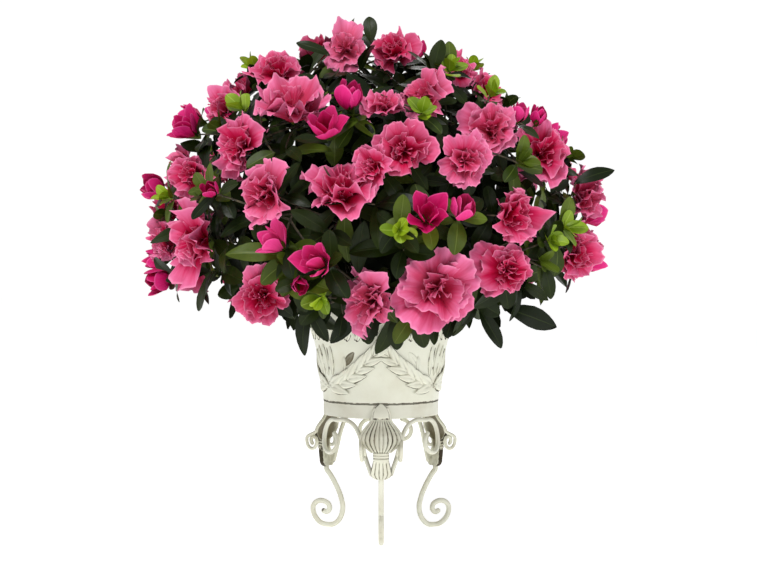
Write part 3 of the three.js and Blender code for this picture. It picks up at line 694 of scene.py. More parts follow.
def makePot():
    pile = Pile()
    addWall(pile)
    random = seededRandom(41)
    for middle in wreath["middles"]:
        addWreath(pile, middle, random)
        addPalmette(pile, middle)
    height, turn = border["height"], border["turn"]
    for i in range(border["count"]):
        azimuth = 360 * i / border["count"]
        stampedLeaf(pile, azimuth, height, turn, border["leaf"])
        stampedLeaf(pile, azimuth + border["apart"], height, -turn, border["smallLeaf"])
    makePiece("flared_pot", pile, "potPaint", ("pot",))


def makeCollar():
    outer, low, top = collar["radius"], collar["bottom"], collar["top"]
    inner = outer - collar["thickness"]
    profile = [(inner, low + 0.3), (inner + 0.3, low), (outer - 0.3, low), (outer, low + 0.4)]
    profile += [(outer, height) for height in np.linspace(low + 1.5, top - 1.2, 10)]
    profile += [(outer, top - 0.4), (outer - 0.2, top), (inner + 0.2, top), (inner, top - 0.4), (inner, low + 0.3)]
    grid = latheGrid(profile, collar["round"])
    marks = markGrid(grid)
    marks[..., 0] = swell(grid[..., 2], top, 0.7) * 0.85 + swell(grid[..., 2], low, 0.6) * 0.4
    makeClosedPiece("stand_collar", grid, marks, "rodPaint", "collar")


def makeMoss():
    random = np.random.default_rng(7)
    reach = np.linspace(0.01, 1, moss["rows"])[:, None]
    phases = random.uniform(0, 6.28, (moss["lumps"], 2))
    waves = random.uniform(3, 19, moss["lumps"]).round()
    radius = reach * moss["skirt"][0][0]
    angles = turns(moss["round"])
    bumps = sum(np.sin(wave * angles + first) * np.sin(radius / 4.2 * (1 + wave / 30) + second)
                for wave, (first, second) in zip(waves, phases))
    height = moss["height"] + (moss["crown"] - moss["height"]) * (1 - reach ** 2)
    height = height + moss["clump"] * bumps * np.clip((reach - 0.16) * 3, 0, 1) - 0.5
    grid = np.concatenate([roundAxis(radius, angles, height), latheGrid(moss["skirt"], moss["round"])])
    makeClosedPiece("moss_bed", grid, 0, "moss", "pot_filling")


makePot()
makeCollar()
makeMoss()
print("stage: pot, collar and moss")


# stand

legAzimuths = {"front": 0, "right": 120, "left": -120}

leg = {
    "radius": 2.9,
    "sides": 16,
    "route": [    # distance from the pot's axis, height
        (70.4, 67.1), (69.9, 63.9), (65.8, 59.3), (57, 46.3), (51.1, 33.8), (48.8, 22.3), (52.1, 11.3),
        (58.6, 4.6), (64.4, 2.5), (73.2, 2.5), (79.6, 4.8), (86.4, 12), (87.8, 20.7), (83.2, 26.6),
        (75.4, 28.4), (67.8, 25.4), (66, 20.3), (69.8, 16.2), (73.7, 17.2),
    ],
}

arm = {
    "radius": 2.35,
    "sides": 14,
    "foot": [(10, 73), (16.2, 90), (21.4, 108), (30, 122.3), (42, 127.7)],
    "curlHeight": 106,
    "unroll": 65,
    "radiusByHeight": [(68, 68.4), (90, 66.6), (108, 64.6), (127.7, 62.1)],
    # radius of the curl by its angle, from the arch round to the tip
    "frontCurl": [(-235, 8), (108, 21.8)],
    "rearCurl": [(-262, 11), (-180, 12.5), (-90, 12), (0, 14.2), (45, 17.5), (108, 21.8)],
    # the leg it starts from, its hand, how far its foot leans out, where the curl's middle is, and which curl
    "places": {
        "front_left": ("front", -1, 1, 62, "frontCurl"),
        "front_right": ("front", 1, 1, 62, "frontCurl"),
        "rear_left": ("left", -1, 0.8, 56, "rearCurl"),
        "rear_right": ("right", 1, 0.62, 44.5, "rearCurl"),
    },
}

rodWearAndShade = {"knots": 20, "patches": 0.15, "grain": 0.1, "under": 0.6, "underSide": 3.9, "start": 0.25, "end": 0.3}

# Heights come first in every pair.
shell = {
    "halfWidth": [
        (68, 6.0), (70, 9.4), (73.5, 11.2), (79, 10.2), (85, 8.8), (88, 8.2), (96.4, 8.4), (97.5, 10.2), (99, 13.4),
        (101.5, 17.2), (105, 20.4), (109, 21.6), (113.5, 20.6), (117.5, 18.4), (121.5, 15.2), (126, 11.4), (130, 9.2),
        (136, 8.6), (142, 6), (146, 1.6),
    ],
    "front": [
        (68, 72.6), (76, 74), (88, 77.2), (100, 78.2), (104, 77.6), (113, 75), (122, 69.6), (130, 66.2), (146, 64.6),
    ],
    "bend": [(68, 1.5), (98, 2), (103, 5.6), (120, 4.5), (130, 1.2), (146, 0.4)],
    "thickness": [(68, 5), (98, 5.5), (103, 2.6), (120, 2.4), (146, 1.6)],
    "backStop": 62.95,
    "leastThickness": 0.6,
    "rows": [(68, 87, 18), (87.4, 96.6, 26), (97, 131, 38), (132, 146, 16)],    # tail, band, fan and bullet
    "tailTop": 87,
    "band": (86.5, 97.5),
    "fan": (97, 131),
    "bullet": (130, 146.5),
    "columns": 65,
    "ribs": 9,
    "ribDepth": 2.5,
    "scallop": 0.03,
    "lobes": 1.7,            # how far the fan's ribs hang below the band
    "tailRibs": 5,
    "rings": 3,
    "ringStart": 87.2,
    "ringSpan": 9.4,
    "seams": (130.5, 97.2),
    "seamWidth": 0.9,
}

rim = {
    "heights": (141, 137, 132, 127, 122, 117, 112, 108.5),
    "inset": 1.0,
    "thin": 1.5,
    "thick": 2.15,
    "scroll": {"side": 21.0, "out": 75.8, "height": 96.6, "radius": 7.2, "stretch": 1.32, "start": 150, "turn": 430,
               "tighten": 0.62, "drift": 3.84},
}


def spun(grid, azimuth):
    turn = math.radians(azimuth)
    x, y = grid[..., 0], grid[..., 1]
    return np.stack([x * math.cos(turn) - y * math.sin(turn), x * math.sin(turn) + y * math.cos(turn),
                     grid[..., 2]], axis=-1)


# A painted rod, worn in patches and dark at its ends, with painted shade and olive patina along one side.
def addRod(pile, route, radii, sides, azimuth, seed):
    grid = tubeGrid(route, radii, sides)
    grid[..., 2] = np.maximum(grid[..., 2], 0)
    random = np.random.default_rng(seed)
    knots = np.linspace(0, len(grid), rodWearAndShade["knots"])
    wear = np.interp(np.arange(len(grid)), knots, random.uniform(0, rodWearAndShade["patches"], len(knots)))[:, None]
    # Painted shade and olive patina along one side of the rod.
    under = np.clip(np.cos(turns(sides) - rodWearAndShade["underSide"]), 0, 1) ** 2
    marks = markGrid(grid, wear + random.uniform(0, rodWearAndShade["grain"], grid.shape[:2]),
                     rodWearAndShade["under"] * under * (0.5 + wear))
    marks[:3, :, 0] += rodWearAndShade["start"]
    marks[-3:, :, 0] += rodWearAndShade["end"]
    pile.addGrid(spun(grid, azimuth), marks, closed=True)


def makeLegs():
    route = smoothRoute([(0, -out, height) for out, height in leg["route"]], 120)
    for number, (side, azimuth) in enumerate(legAzimuths.items()):
        pile = Pile()
        addRod(pile, route, leg["radius"], leg["sides"], azimuth, 60 + number)
        makePiece("scroll_leg_" + side, pile, "rodPaint", ("leg_" + side,))


# An arm drawn flat: up from its foot, over the arch and round the curl, then bent to the collar's round.
def armRoute(hand, spread, middle, curl):
    start = arm["foot"][0][0]
    unrolled = [(start + (along - start) * spread, height) for along, height in arm["foot"]]
    for turn in np.linspace(curl[-1][0], curl[0][0], 25):
        angle, radius = math.radians(turn), float(between(curl, turn))
        unrolled.append((middle + radius * math.cos(angle), arm["curlHeight"] + radius * math.sin(angle)))
    along, height = np.array(unrolled).T
    return smoothRoute(roundAxis(between(arm["radiusByHeight"], height), along / arm["unroll"] * hand, height), 110)


def makeArms():
    for number, (name, (side, hand, spread, middle, curl)) in enumerate(arm["places"].items()):
        pile = Pile()
        route = armRoute(hand, spread, middle, arm[curl])
        addRod(pile, route, arm["radius"], arm["sides"], legAzimuths[side], 70 + number)
        makePiece("scroll_arm_" + name, pile, "rodPaint", ("arm_" + name,))


# Ribs stand up between narrow grooves: the value is 0 in a groove and 1 on a rib.
def ribWave(across, count):
    return np.abs(np.cos(across * math.pi * count / 2)) ** 0.5


def shellCurve(across, height):
    return between(shell["front"], height) - between(shell["bend"], height) * across ** 2


# How far the front face stands out, and its marks. The fan is ribbed, the band has rings and the tail has ribs. The
# second mark paints shade and patina into the grooves and along the edges.
def shellFace(across, height):
    fan = rise(height, shell["fan"][0], 1.4) * rise(height, shell["fan"][1], -4)
    band = rise(height, shell["band"][0], 1.5) * rise(height, shell["band"][1], -1.5)
    tail, bullet = rise(height, shell["tailTop"], -2), rise(height, shell["bullet"][0], 2)
    ribs, tailRibs = ribWave(across, shell["ribs"]), ribWave(across, shell["tailRibs"])
    rings = np.abs(np.sin((height - shell["ringStart"]) / shell["ringSpan"] * shell["rings"] * math.pi)) ** 0.6
    domed = np.sqrt(np.clip(1 - across ** 2, 0, 1))
    out = shellCurve(across, height) + fan * shell["ribDepth"] * (ribs - 0.5) + tail * 0.9 * (tailRibs - 0.4)
    out = out + band * (1.4 * rings + 1.6 * domed - 1.2)
    out = out + bullet * 1.6 * domed * rise(height, shell["bullet"][1], -10)
    groove = fan * (1 - ribs) + tail * (1 - tailRibs) + band * (1 - rings) * 0.9
    edge = rise(np.abs(across), 0.86, 0.14) * (1 + 2.4 * bullet)
    seam = sum(swell(height, place, shell["seamWidth"]) for place in shell["seams"])
    return out, np.clip(groove * 0.78 + edge * 0.3 + seam * 0.7, 0, 1), np.clip(groove + edge * 0.4, 0, 1)


def shellGrid():
    height = np.concatenate([np.linspace(*row) for row in shell["rows"]])[:, None]
    across = np.sin(np.linspace(-1, 1, shell["columns"]) * math.pi / 2)[None, :]
    ribs, side = ribWave(across, shell["ribs"]), across * between(shell["halfWidth"], height)
    front, grime, hollow = shellFace(across, height)
    back = np.maximum(shellCurve(across, height) - between(shell["thickness"], height), shell["backStop"])
    front = np.maximum(front, back + shell["leastThickness"])
    lobes = -shell["lobes"] * ribs * rise(height, 102, -4) * (height > shell["seams"][1])
    faces = [np.stack([side * (1 + shell["scallop"] * (ribs - 0.5)), -front, height + lobes], axis=-1),
             np.stack([side, -back, height + 0 * across], axis=-1)[:, ::-1]]
    grid = np.concatenate(faces, axis=1)
    ends = [np.broadcast_to(row.mean(axis=0), grid[:1].shape) for row in (grid[0], grid[-1])]
    grid = np.concatenate([ends[0], grid, ends[1]])
    # The back, which faces the pot, takes painted shade and patina, less towards the tail.
    backGrime = 0.14 + 0.4 * (1 - ribWave(across, shell["tailRibs"])) + 0 * height
    backShadeAndPatina = (0.95 - 0.5 * rise(height, 91, -5)) * (1 - 0.9 * np.abs(across) ** 6)
    marks = markGrid(grid)
    marks[0, :, 0] = marks[-1, :, 0] = 0.4
    marks[1:-1, :, 0] = np.concatenate([grime, backGrime], axis=1)
    marks[1:-1, :, 1] = np.concatenate([hollow, backShadeAndPatina], axis=1)
    return grid, marks


# The rim rolls down each side of the fan and ends in a scroll that stands out from its corner.
def rimRoute(hand):
    scroll = rim["scroll"]
    points = []
    for height in rim["heights"]:
        out = shellCurve(1, height) - rim["inset"]
        points.append((hand * between(shell["halfWidth"], height), -out, height))
    for step in np.linspace(0, 1, 17):
        angle = math.radians(scroll["start"] + scroll["turn"] * step)
        radius = scroll["radius"] * (1 - scroll["tighten"] * step)
        points.append((hand * (scroll["side"] - scroll["drift"] * step), radius * math.cos(angle) - scroll["out"],
                       scroll["height"] + radius * scroll["stretch"] * math.sin(angle)))
    return smoothRoute(points, 90)


def makeShells():
    grid, marks = shellGrid()
    for side, azimuth in legAzimuths.items():
        pile = Pile()
        pile.addGrid(spun(grid, azimuth), marks, closed=True)
        for hand in (-1, 1):
            addRod(pile, rimRoute(hand), np.linspace(rim["thin"], rim["thick"], 90), 12, azimuth, 80 + hand)
        makePiece("cast_shell_" + side, pile, "castPaint", ("shell_" + side,))


makeLegs()
makeArms()
makeShells()
print("stage: stand")


# stem, boughs and twigs, grown by the same rule as the solids and carried on to finer twigs

crownCentre = np.array([0, 0, 319.0])

crown = {
    "reach": [(-60, 118), (-45, 142), (-32, 176), (-20, 222), (-10, 249), (10, 256), (45, 244), (90, 243)],
    "dent": {"azimuth": 88, "elevation": 52, "depth": 24, "spread": 34},
}

mainStem = {"bottom": 243.3, "top": 288, "lean": 2.5, "radius": [(243.3, 14), (254, 9.6), (270, 9.6), (288, 8.8)]}

boughTiers = [
    {"name": "top", "count": 1, "elevation": 90, "first": 0, "fork": 288, "radius": 3.6},
    {"name": "shoulder", "count": 5, "elevation": 40, "first": 36, "fork": 281, "radius": 3.3},
    {"name": "skirt", "count": 8, "elevation": -6, "first": 22.5, "fork": 265, "radius": 2.9},
]

bough = {"reach": 96, "tipRadius": 2.2, "straight": 45}
massStem = {"radius": 2.1, "tipRadius": 1.3, "share": 0.7, "straight": 25}
twig = {"radius": 1.3, "tipRadius": 0.8, "shortest": 14, "lift": 5, "sway": 8, "forks": (0.35, 0.6), "wobble": 0.6}
bark = {"sides": 30, "furrows": 7, "furrowDepth": 0.05, "roughness": 0.02}

# The near side's blooms: azimuth, elevation, width, and the azimuth and elevation that they face.
frontBlooms = [
    (-30, 70, 62, -8, 8), (10, 65, 60, -20, 30), (-55, 52, 64, -12, 48), (-30, 33, 92, 4, 62), (-74, 39, 58, -58, 22),
    (-42, 24, 72, -48, 4), (-62, 17, 60, -28, -4), (17, 39, 68, -38, 22), (44, 57, 50, 30, 38), (48, 46, 48, 44, 36),
    (36, 29, 72, -4, 22), (6, 21, 66, 0, 2), (22, 19, 62, 6, -8), (-1, 16, 50, -42, 8), (-10, 8.5, 94, 0, 50),
    (-28, 10, 74, -44, 0), (60, 24, 84, 6, 14), (78, 11, 68, 38, 0), (33, 5, 74, 46, 0), (34, -9, 66, 2, 8),
    (16, -15, 86, 0, 2), (-1.5, -19, 78, -44, -4), (-38, -17, 66, -6, -12), (-55, -1, 84, -56, -6),
    (-80, 0, 48, -66, 2), (61, -4, 68, 58, -16), (1, 33, 46, 2, 46),
]

# Its buds are the same, and their width says whether they are small, closed or half open.
budWidths = {"closed": 17, "halfOpen": 24}
frontBuds = [
    (-66, 27, 24, -46, 34), (-9, 31, 17, 8, 58), (-14, 23, 24, 0, 40), (-78, 12, 17, -46, 14),
    (-23, -3, 24, -50, 30), (-13, -7, 24, -34, 12), (10, 3, 24, 4, 22), (18, 4, 17, 8, 34), (-77, -10, 17, -46, -16),
    (55, 31, 12, 24, 58), (43, 30, 12, 20, 60), (-43, 10, 12, -20, 20), (-20, -11, 12, 10, -20),
]

# The far side's flowers stand in rows: elevation and how many. The fill goes only where there is room.
rear = {
    "start": 78, "end": 282, "budEvery": 4, "bloomWidth": 62, "widthRange": 16, "shoots": 26,
    "scatterRound": 8, "scatterUp": 5, "fillClearance": 9.5, "shootClearance": 6,
    "rows": [
        (70, 2), (55, 3), (43, 4), (35, 0), (31.5, 5), (24, 0), (19, 6), (15, 0), (8, 6), (4, 0), (-2, 6), (-8, 0),
        (-13.5, 5),
    ],
    "fillRows": [(60, 2), (36, 4), (25, 4), (13, 5), (3, 4), (-8, 5)],
}

# New shoots of the near side, azimuth and elevation: bright ones and plain green ones.
frontShoots = {
    "sprout": [
        (28, 49), (0, 36), (-45, 33), (-72, 52), (11, 30), (40, 40), (50, 2), (44, -1), (-16, -16), (-66, 10), (4, 1),
    ],
    "rosette": [
        (-39, 33), (-40, 76), (-8, 29), (-82, -4), (-80, 6), (38, 18), (-14, 16), (-48, 11), (-22, -6), (43, -6),
        (24, 52), (-52, 28),
    ],
}

# Leaves set one by one: azimuth, elevation, inset, the way they run (right, up, nearer) and length.
setLeaves = [
    ("dark", 45, -22, 26, (58, -19, 0), 62), ("dark", 41, -26, 30, (28, -42, 6), 48),
    ("dark", 30, -27, 30, (-12, -30, 12), 30), ("dark", 70, 15, 26, (42, 22, 4), 46),
    ("dark", -8, 70, 22, (-2, 30, 2), 30), ("dark", -30, 60, 26, (-34, 20, 6), 38),
    ("dark", 22, 50, 20, (4, 28, 14), 32), ("fresh", 29, 50, 18, (2, 30, 12), 31),
    ("fresh", -30, 21, 30, (-26, -12, 10), 32), ("fresh", -24, -5, 24, (-56, 12, 4), 58),
    ("dark", 6, -27, 24, (-6, -34, 8), 36), ("dark", 13, -27, 24, (8, -34, 6), 36),
    ("dark", -2, -27, 26, (-10, -32, 6), 32), ("fresh", 10, -24, 16, (-18, -24, 12), 34),
    ("dark", -14, -26, 26, (-4, -24, 6), 26), ("dark", -24, -23, 26, (12, -26, 8), 38),
    ("dark", -44, -17, 32, (6, -10, 6), 26), ("dark", 44, -8, 18, (10, -30, 4), 32),
    ("fresh", 47, -3, 16, (4, -30, 4), 30), ("dark", -6, -27, 30, (2, -30, 8), 34),
]

# How far inside the crown's reach each kind of spray ends, in mm.
sprayInsets = {"bloom": 14, "bud": 16, "leaves": 44, "deep": 40, "rosette": 24, "sprout": 17, "single": 0}

# Leaf sprays wind round the crown by the golden angle. Deep ones end part of the way out.
goldenAngle = 137.508
leafSprays = {
    "leaves": {"count": 170, "lowest": -40, "first": 0, "clearance": 7},
    "deep": {"count": 170, "lowest": -36, "first": 40, "nearest": 0.5, "furthest": 0.86},
}


def elevationOf(direction):
    return math.degrees(math.asin(max(-1, min(1, direction[2]))))


def angleBetween(first, second):
    return math.degrees(math.acos(max(-1, min(1, float(np.dot(first, second))))))


# The crown stands back a little high on its right side.
def crownDent(direction):
    dent = crown["dent"]
    apart = np.degrees(np.arccos(np.clip(np.dot(direction, toward(dent["azimuth"], dent["elevation"])), -1, 1)))
    return dent["depth"] * swell(apart, 0, dent["spread"])


def reachAlong(direction):
    return float(between(crown["reach"], elevationOf(direction)) - crownDent(direction))


def makeCells():
    cells = []
    for tier in boughTiers:
        for i in range(tier["count"]):
            azimuth = tier["first"] + 360 / tier["count"] * i
            name = tier["name"] + ("_%d" % (i + 1) if tier["count"] > 1 else "")
            direction = toward(azimuth, tier["elevation"])
            cells.append({"name": name, "tier": tier, "azimuth": azimuth, "direction": direction})
    return cells


def stemAt(height):
    share = (height - mainStem["bottom"]) / (mainStem["top"] - mainStem["bottom"])
    return np.array([mainStem["lean"] * share, 0, height])


def boughPoints(cell):
    tier = cell["tier"]
    tip = crownCentre + cell["direction"] * bough["reach"]
    if tier["elevation"] > 80:
        start = stemAt(tier["fork"] - 3)
        return start, (start + tip) / 2 + np.array([-2, 3, 0]), tip
    heading = toward(cell["azimuth"], 25 if tier["elevation"] > 0 else 8)
    start = stemAt(tier["fork"]) + toward(cell["azimuth"]) * (between(mainStem["radius"], tier["fork"]) - 2)
    return start, start + heading * bough["straight"], tip


def nearestCell(direction):
    return max(cells, key=lambda cell: np.dot(cell["direction"], direction))


def makeSpray(kind, direction, width=0, facing=None, **more):
    return dict(kind=kind, direction=direction, width=width, facing=facing, **more)


def farFrom(flowers, direction, clearance):
    return all(angleBetween(flower["direction"], direction) > clearance for flower in flowers)


def rearFlowers(rows, random):
    flowers = []
    for rowNumber, (elevation, count) in enumerate(rows):
        for i in range(count):
            place = (i + (0.3 if rowNumber % 2 else 0.7)) * (rear["end"] - rear["start"]) / count
            azimuth = rear["start"] + place + (random() - 0.5) * rear["scatterRound"]
            high = elevation + (random() - 0.5) * rear["scatterUp"]
            if high < 0:
                high *= 1 - 0.55 * math.sin(math.radians(azimuth)) ** 2
            kind, width = "bloom", rear["bloomWidth"] + (random() - 0.5) * rear["widthRange"]
            if (i + rowNumber) % rear["budEvery"] == 0:
                kind, width = "bud", budWidths["halfOpen" if i % 2 else "closed"]
            flowers.append(makeSpray(kind, toward(azimuth, high), width))
    return flowers


def listSprays():
    random = seededRandom(20)
    flowers = []
    for kind, rows in (("bloom", frontBlooms), ("bud", frontBuds)):
        flowers += [makeSpray(kind, toward(azimuth, elevation), width, toward(*face))
                    for azimuth, elevation, width, *face in rows]
    flowers += rearFlowers(rear["rows"], random)
    flowers += [flower for flower in rearFlowers(rear["fillRows"], random)
                if farFrom(flowers, flower["direction"], rear["fillClearance"])]
    sprays = list(flowers)
    for kind, shoots in frontShoots.items():
        sprays += [makeSpray(kind, toward(*shoot)) for shoot in shoots]
    for i in range(rear["shoots"]):
        around = rear["start"] + (rear["end"] - rear["start"]) * (i * 0.618 % 1)
        direction = toward(around, 64 - 78 * (i + random()) / rear["shoots"])
        if farFrom(flowers, direction, rear["shootClearance"]):
            sprays.append(makeSpray("rosette" if i % 3 else "sprout", direction))
    for shade, azimuth, elevation, inset, run, length in setLeaves:
        sprays.append(makeSpray("single", toward(azimuth, elevation), run=run, length=length, shade=shade, inset=inset))
    for kind, plan in leafSprays.items():
        lowestSine = math.sin(math.radians(plan["lowest"]))
        for i in range(plan["count"]):
            azimuth = goldenAngle * i + plan["first"]
            sine = 1 - (1 - lowestSine) * (i + 0.5) / plan["count"]
            direction = toward(azimuth, math.degrees(math.asin(sine)))
            lowest = -8 - 31 * math.cos(math.radians(azimuth)) ** 2
            if kind == "deep":
                share = plan["nearest"] + (plan["furthest"] - plan["nearest"]) * random()
                sprays.append(makeSpray(kind, direction, share=share))
            elif farFrom(flowers, direction, plan["clearance"]) and elevationOf(direction) > lowest:
                sprays.append(makeSpray(kind, direction))
    return sprays


# Twigs of one mass: each leaves the nearest wood further in.
def growTwigs(cell, own, random, wood):
    start, control, tip = boughPoints(cell)
    end = crownCentre + cell["direction"] * reachAlong(cell["direction"]) * massStem["share"]
    middle = tip + unit(tip - control) * massStem["straight"]
    wood.append((bendLine(tip, middle, end, 7), np.linspace(massStem["radius"], massStem["tipRadius"], 7)))
    joints = [bendAt(tip, middle, end, share) for share in np.arange(0.2, 1, 0.1)]
    for spray in own:
        direction = spray["direction"]
        inset = sprayInsets[spray["kind"]] + spray.get("inset", 0)
        width = spray["width"] if spray["kind"] == "bloom" else 0
        length = (reachAlong(direction) - inset - width * 0.3) * spray.get("share", 1)
        tip = crownCentre + direction * length
        inner = [joint for joint in joints if np.linalg.norm(joint - crownCentre) < length - twig["shortest"]]
        source = min([joints[0]] + inner, key=lambda joint: np.linalg.norm(joint - tip))
        sway = sidewaysOf(direction) * (random() - 0.5) * twig["sway"]
        middle = (source + tip) / 2 + direction * twig["lift"] + sway
        wood.append((bendLine(source, middle, tip, 6), np.linspace(twig["radius"], twig["tipRadius"], 6)))
        joints += [bendAt(source, middle, tip, fork) for fork in twig["forks"]]
        wobble = np.array([random() - 0.5, random() - 0.5, random() - 0.5]) * twig["wobble"]
        if spray["facing"] is None:
            spray["facing"] = unit(direction + wobble)
        spray.update(tip=tip, spin=random() * fullTurn, tone=random(), cupped=random() ** 2)


def makeMainStem(random):
    low, sides = mainStem["bottom"] - 0.2, bark["sides"]
    heights = np.linspace(low, mainStem["top"], 26)
    grid = tubeGrid([stemAt(height) for height in heights], between(mainStem["radius"], heights), sides)
    centre = grid.mean(axis=1, keepdims=True)
    around = np.arange(sides) * fullTurn * bark["furrows"] / sides
    furrow = 1 + bark["furrowDepth"] * np.sin(around + np.linspace(0, 2, len(grid))[:, None])
    furrow = furrow + random.uniform(-bark["roughness"], bark["roughness"], grid.shape[:2])
    grid = centre + (grid - centre) * furrow[..., None]
    grid[..., 2] = np.maximum(grid[..., 2], low)
    makeClosedPiece("main_stem_bark", grid, 0, "bark", "main_stem")


def makeBoughs(random):
    pile = Pile()
    for cell in cells:
        radii = np.linspace(cell["tier"]["radius"], bough["tipRadius"], 14) * random.uniform(0.93, 1.07, 14)
        pile.addTube(bendLine(*boughPoints(cell), 14), radii, 10)
    makePiece("bough_bark", pile, "bark", ["bough_" + cell["name"] for cell in cells])


def makeTwigs():
    wood = []
    for number, cell in enumerate(cells):
        own = [spray for spray in sprays if nearestCell(spray["direction"]) is cell]
        growTwigs(cell, own, seededRandom(300 + number), wood)
    pile = Pile()
    for line, radii in wood:
        pile.addTube(line, radii, 5)
    makePiece("fine_twigs", pile, "bark")


cells = makeCells()
sprays = listSprays()
woodRandom = np.random.default_rng(12)
makeMainStem(woodRandom)
makeBoughs(woodRandom)
makeTwigs()
print("stage: stem, boughs and twigs")


# blooms and buds

# Each whorl: how many petals, their length as a share of the bloom's radius, half their fan in degrees, how they
# open from root to rim, how much the rim waves, its columns of points, and how far they stray from an even turn.
whorlValues = ("count", "length", "spread", "open", "ruffle", "columns", "stray")
whorls = {
    "bloom": [
        (5, 1.14, 52, (34, 94), 0.17, 31, 0.8),
        (4, 0.95, 54, (22, 72), 0.21, 29, 1.05),
        (4, 0.76, 56, (12, 52), 0.26, 25, 1.25),
        (3, 0.52, 60, (6, 36), 0.3, 19, 1.4),
    ],
    "closed": [
        (4, 1.0, 29, (58, -26), 0.012, 11, 0.2),
        (3, 0.92, 26, (40, -26), 0.012, 9, 0.2),
    ],
    "halfOpen": [
        (5, 1.05, 28, (50, 14), 0.035, 11, 0.5),
        (3, 0.9, 26, (30, -12), 0.03, 9, 0.5),
    ],
}

petalPieces = ("outer_petals", "middle_petals", "inner_petals", "heart_petals")
petal = {"rows": 9, "notch": 0.08, "overlap": 0.15, "cup": 0.16, "budCup": 0.75, "groove": 0.05}

bloom = {
    "scale": 0.95,
    "whorlLean": 0.16,       # inner whorls lean off the bloom's axis
    "whorlTurn": 0.62,
    "whorlStep": 1.2,        # mm from whorl to whorl along the axis
    "closing": 0.35,
    "oval": 0.27,            # how much narrower a bloom is across than along
    "stamens": 6,
    "stamenRadii": (0.35, 0.32, 0.3, 0.35, 0.75),
    "stamenMarks": (0.75, 0.4, 0.7, 0.2),
}

bud = {"length": 31, "small": 0.66}


# One petal as a fan whose rays end on a lobed rim: out from the axis, sideways and up.
def petalShape(random, whorl, pointed):
    across = np.linspace(-1, 1, whorl["columns"])[None, :]
    along = (np.linspace(0, 1, petal["rows"]) ** 0.8)[:, None]
    p1, p2, p3, p4 = [6.28 * random() for _ in range(4)]
    if pointed:
        reach = 1 - 0.34 * np.abs(across) ** 1.5 + 0.02 * np.sin(5 * across + p1)
    else:
        reach = 1 - 0.36 * np.abs(across) ** 2.8 - petal["notch"] * swell(across, 0, 0.14)
        reach = reach + 0.055 * np.sin((3 + 2 * random()) * across + p1) + 0.02 * np.sin(13 * across + p2)
        reach = reach + 0.022 * np.sin(29 * across + p3)
    run = along * reach
    fan = across * math.radians(whorl["spread"]) * (0.82 + 0.3 * random())
    ahead, side = run * np.cos(fan), run * np.sin(fan)
    swing = whorl["stray"] * (random() - 0.5)
    start, end = [math.radians(degrees) for degrees in whorl["open"]]
    start, end = start + swing * 0.3, end + swing
    bend = end - start if abs(end - start) > 0.15 else 0.15
    curl = start + bend * ahead
    broad = np.sin((3.4 + 2.4 * random()) * across + p4) * (0.6 + 0.8 * random())
    frill = 0.6 * np.sin((11 + 6 * random()) * across + p1) + 0.25 * np.sin(26 * across + p2)
    push = whorl["ruffle"] * (run ** 1.6 * broad + run ** 6 * frill)
    fold = 0.5 + 1.6 * random()
    push = push + petal["budCup" if pointed else "cup"] * side ** 2 + petal["overlap"] * side
    push = push - petal["groove"] * fold * swell(across, 0, 0.25) * run
    out = (math.cos(start) - np.cos(curl)) / bend - push * np.cos(curl)
    up = (np.sin(curl) - math.sin(start)) / bend + push * np.sin(curl)
    return out, side, up, along, across * 0.5 + 0.5


def petalLength(spray):
    if spray["kind"] == "bloom":
        return spray["width"] / 2 * bloom["scale"]
    return bud["length"] * (bud["small"] if spray["width"] < budWidths["closed"] else 1)


def addWhorl(pile, spray, whorl, number, depth, random):
    pointed = spray["kind"] == "bud"
    facing = spray["facing"]
    if number and not pointed:
        tilt = turned(sidewaysOf(facing), facing, fullTurn * random())
        facing = unit(facing + bloom["whorlLean"] * number * random() * tilt)
    first = sidewaysOf(facing)
    second = np.cross(facing, first)
    base = spray["tip"] + facing * (bloom["whorlStep"] * number - 1.5)
    for i in range(whorl["count"]):
        stray = whorl["stray"] * (random() - 0.5)
        turn = spray["spin"] + number * bloom["whorlTurn"] + fullTurn * (i + stray) / whorl["count"]
        outward = math.cos(turn) * first + math.sin(turn) * second
        sideways = np.cross(facing, outward)
        size = petalLength(spray) * whorl["length"] * (1 + (0.2 + 0.2 * whorl["stray"]) * (random() - 0.5))
        if not pointed:
            size *= 1.04 - bloom["oval"] * math.cos(turn - spray["spin"] * 3.7) ** 2
        out, side, up, along, across = petalShape(random, whorl, pointed)
        grid = (base + (out * size + 0.8)[..., None] * outward + (side * size)[..., None] * sideways
                + (up * size)[..., None] * facing)
        tone = min(1, max(0, spray["tone"] + (random() - 0.5) * 0.3))
        pile.addGrid(grid, markGrid(grid, along, across, tone, depth))


# Fine filaments in the throat of an open bloom.
def addStamens(pile, spray, random):
    facing, radius = spray["facing"], spray["width"] / 2
    base = spray["tip"] + facing * 2
    for i in range(bloom["stamens"]):
        lean = unit(facing + 0.3 * turned(sidewaysOf(facing), facing, i * 1.05 + random()))
        line = bendLine(base, base + facing * radius * 0.4, base + lean * radius * 0.74, 5)
        pile.addTube(line, bloom["stamenRadii"], 4, bloom["stamenMarks"])


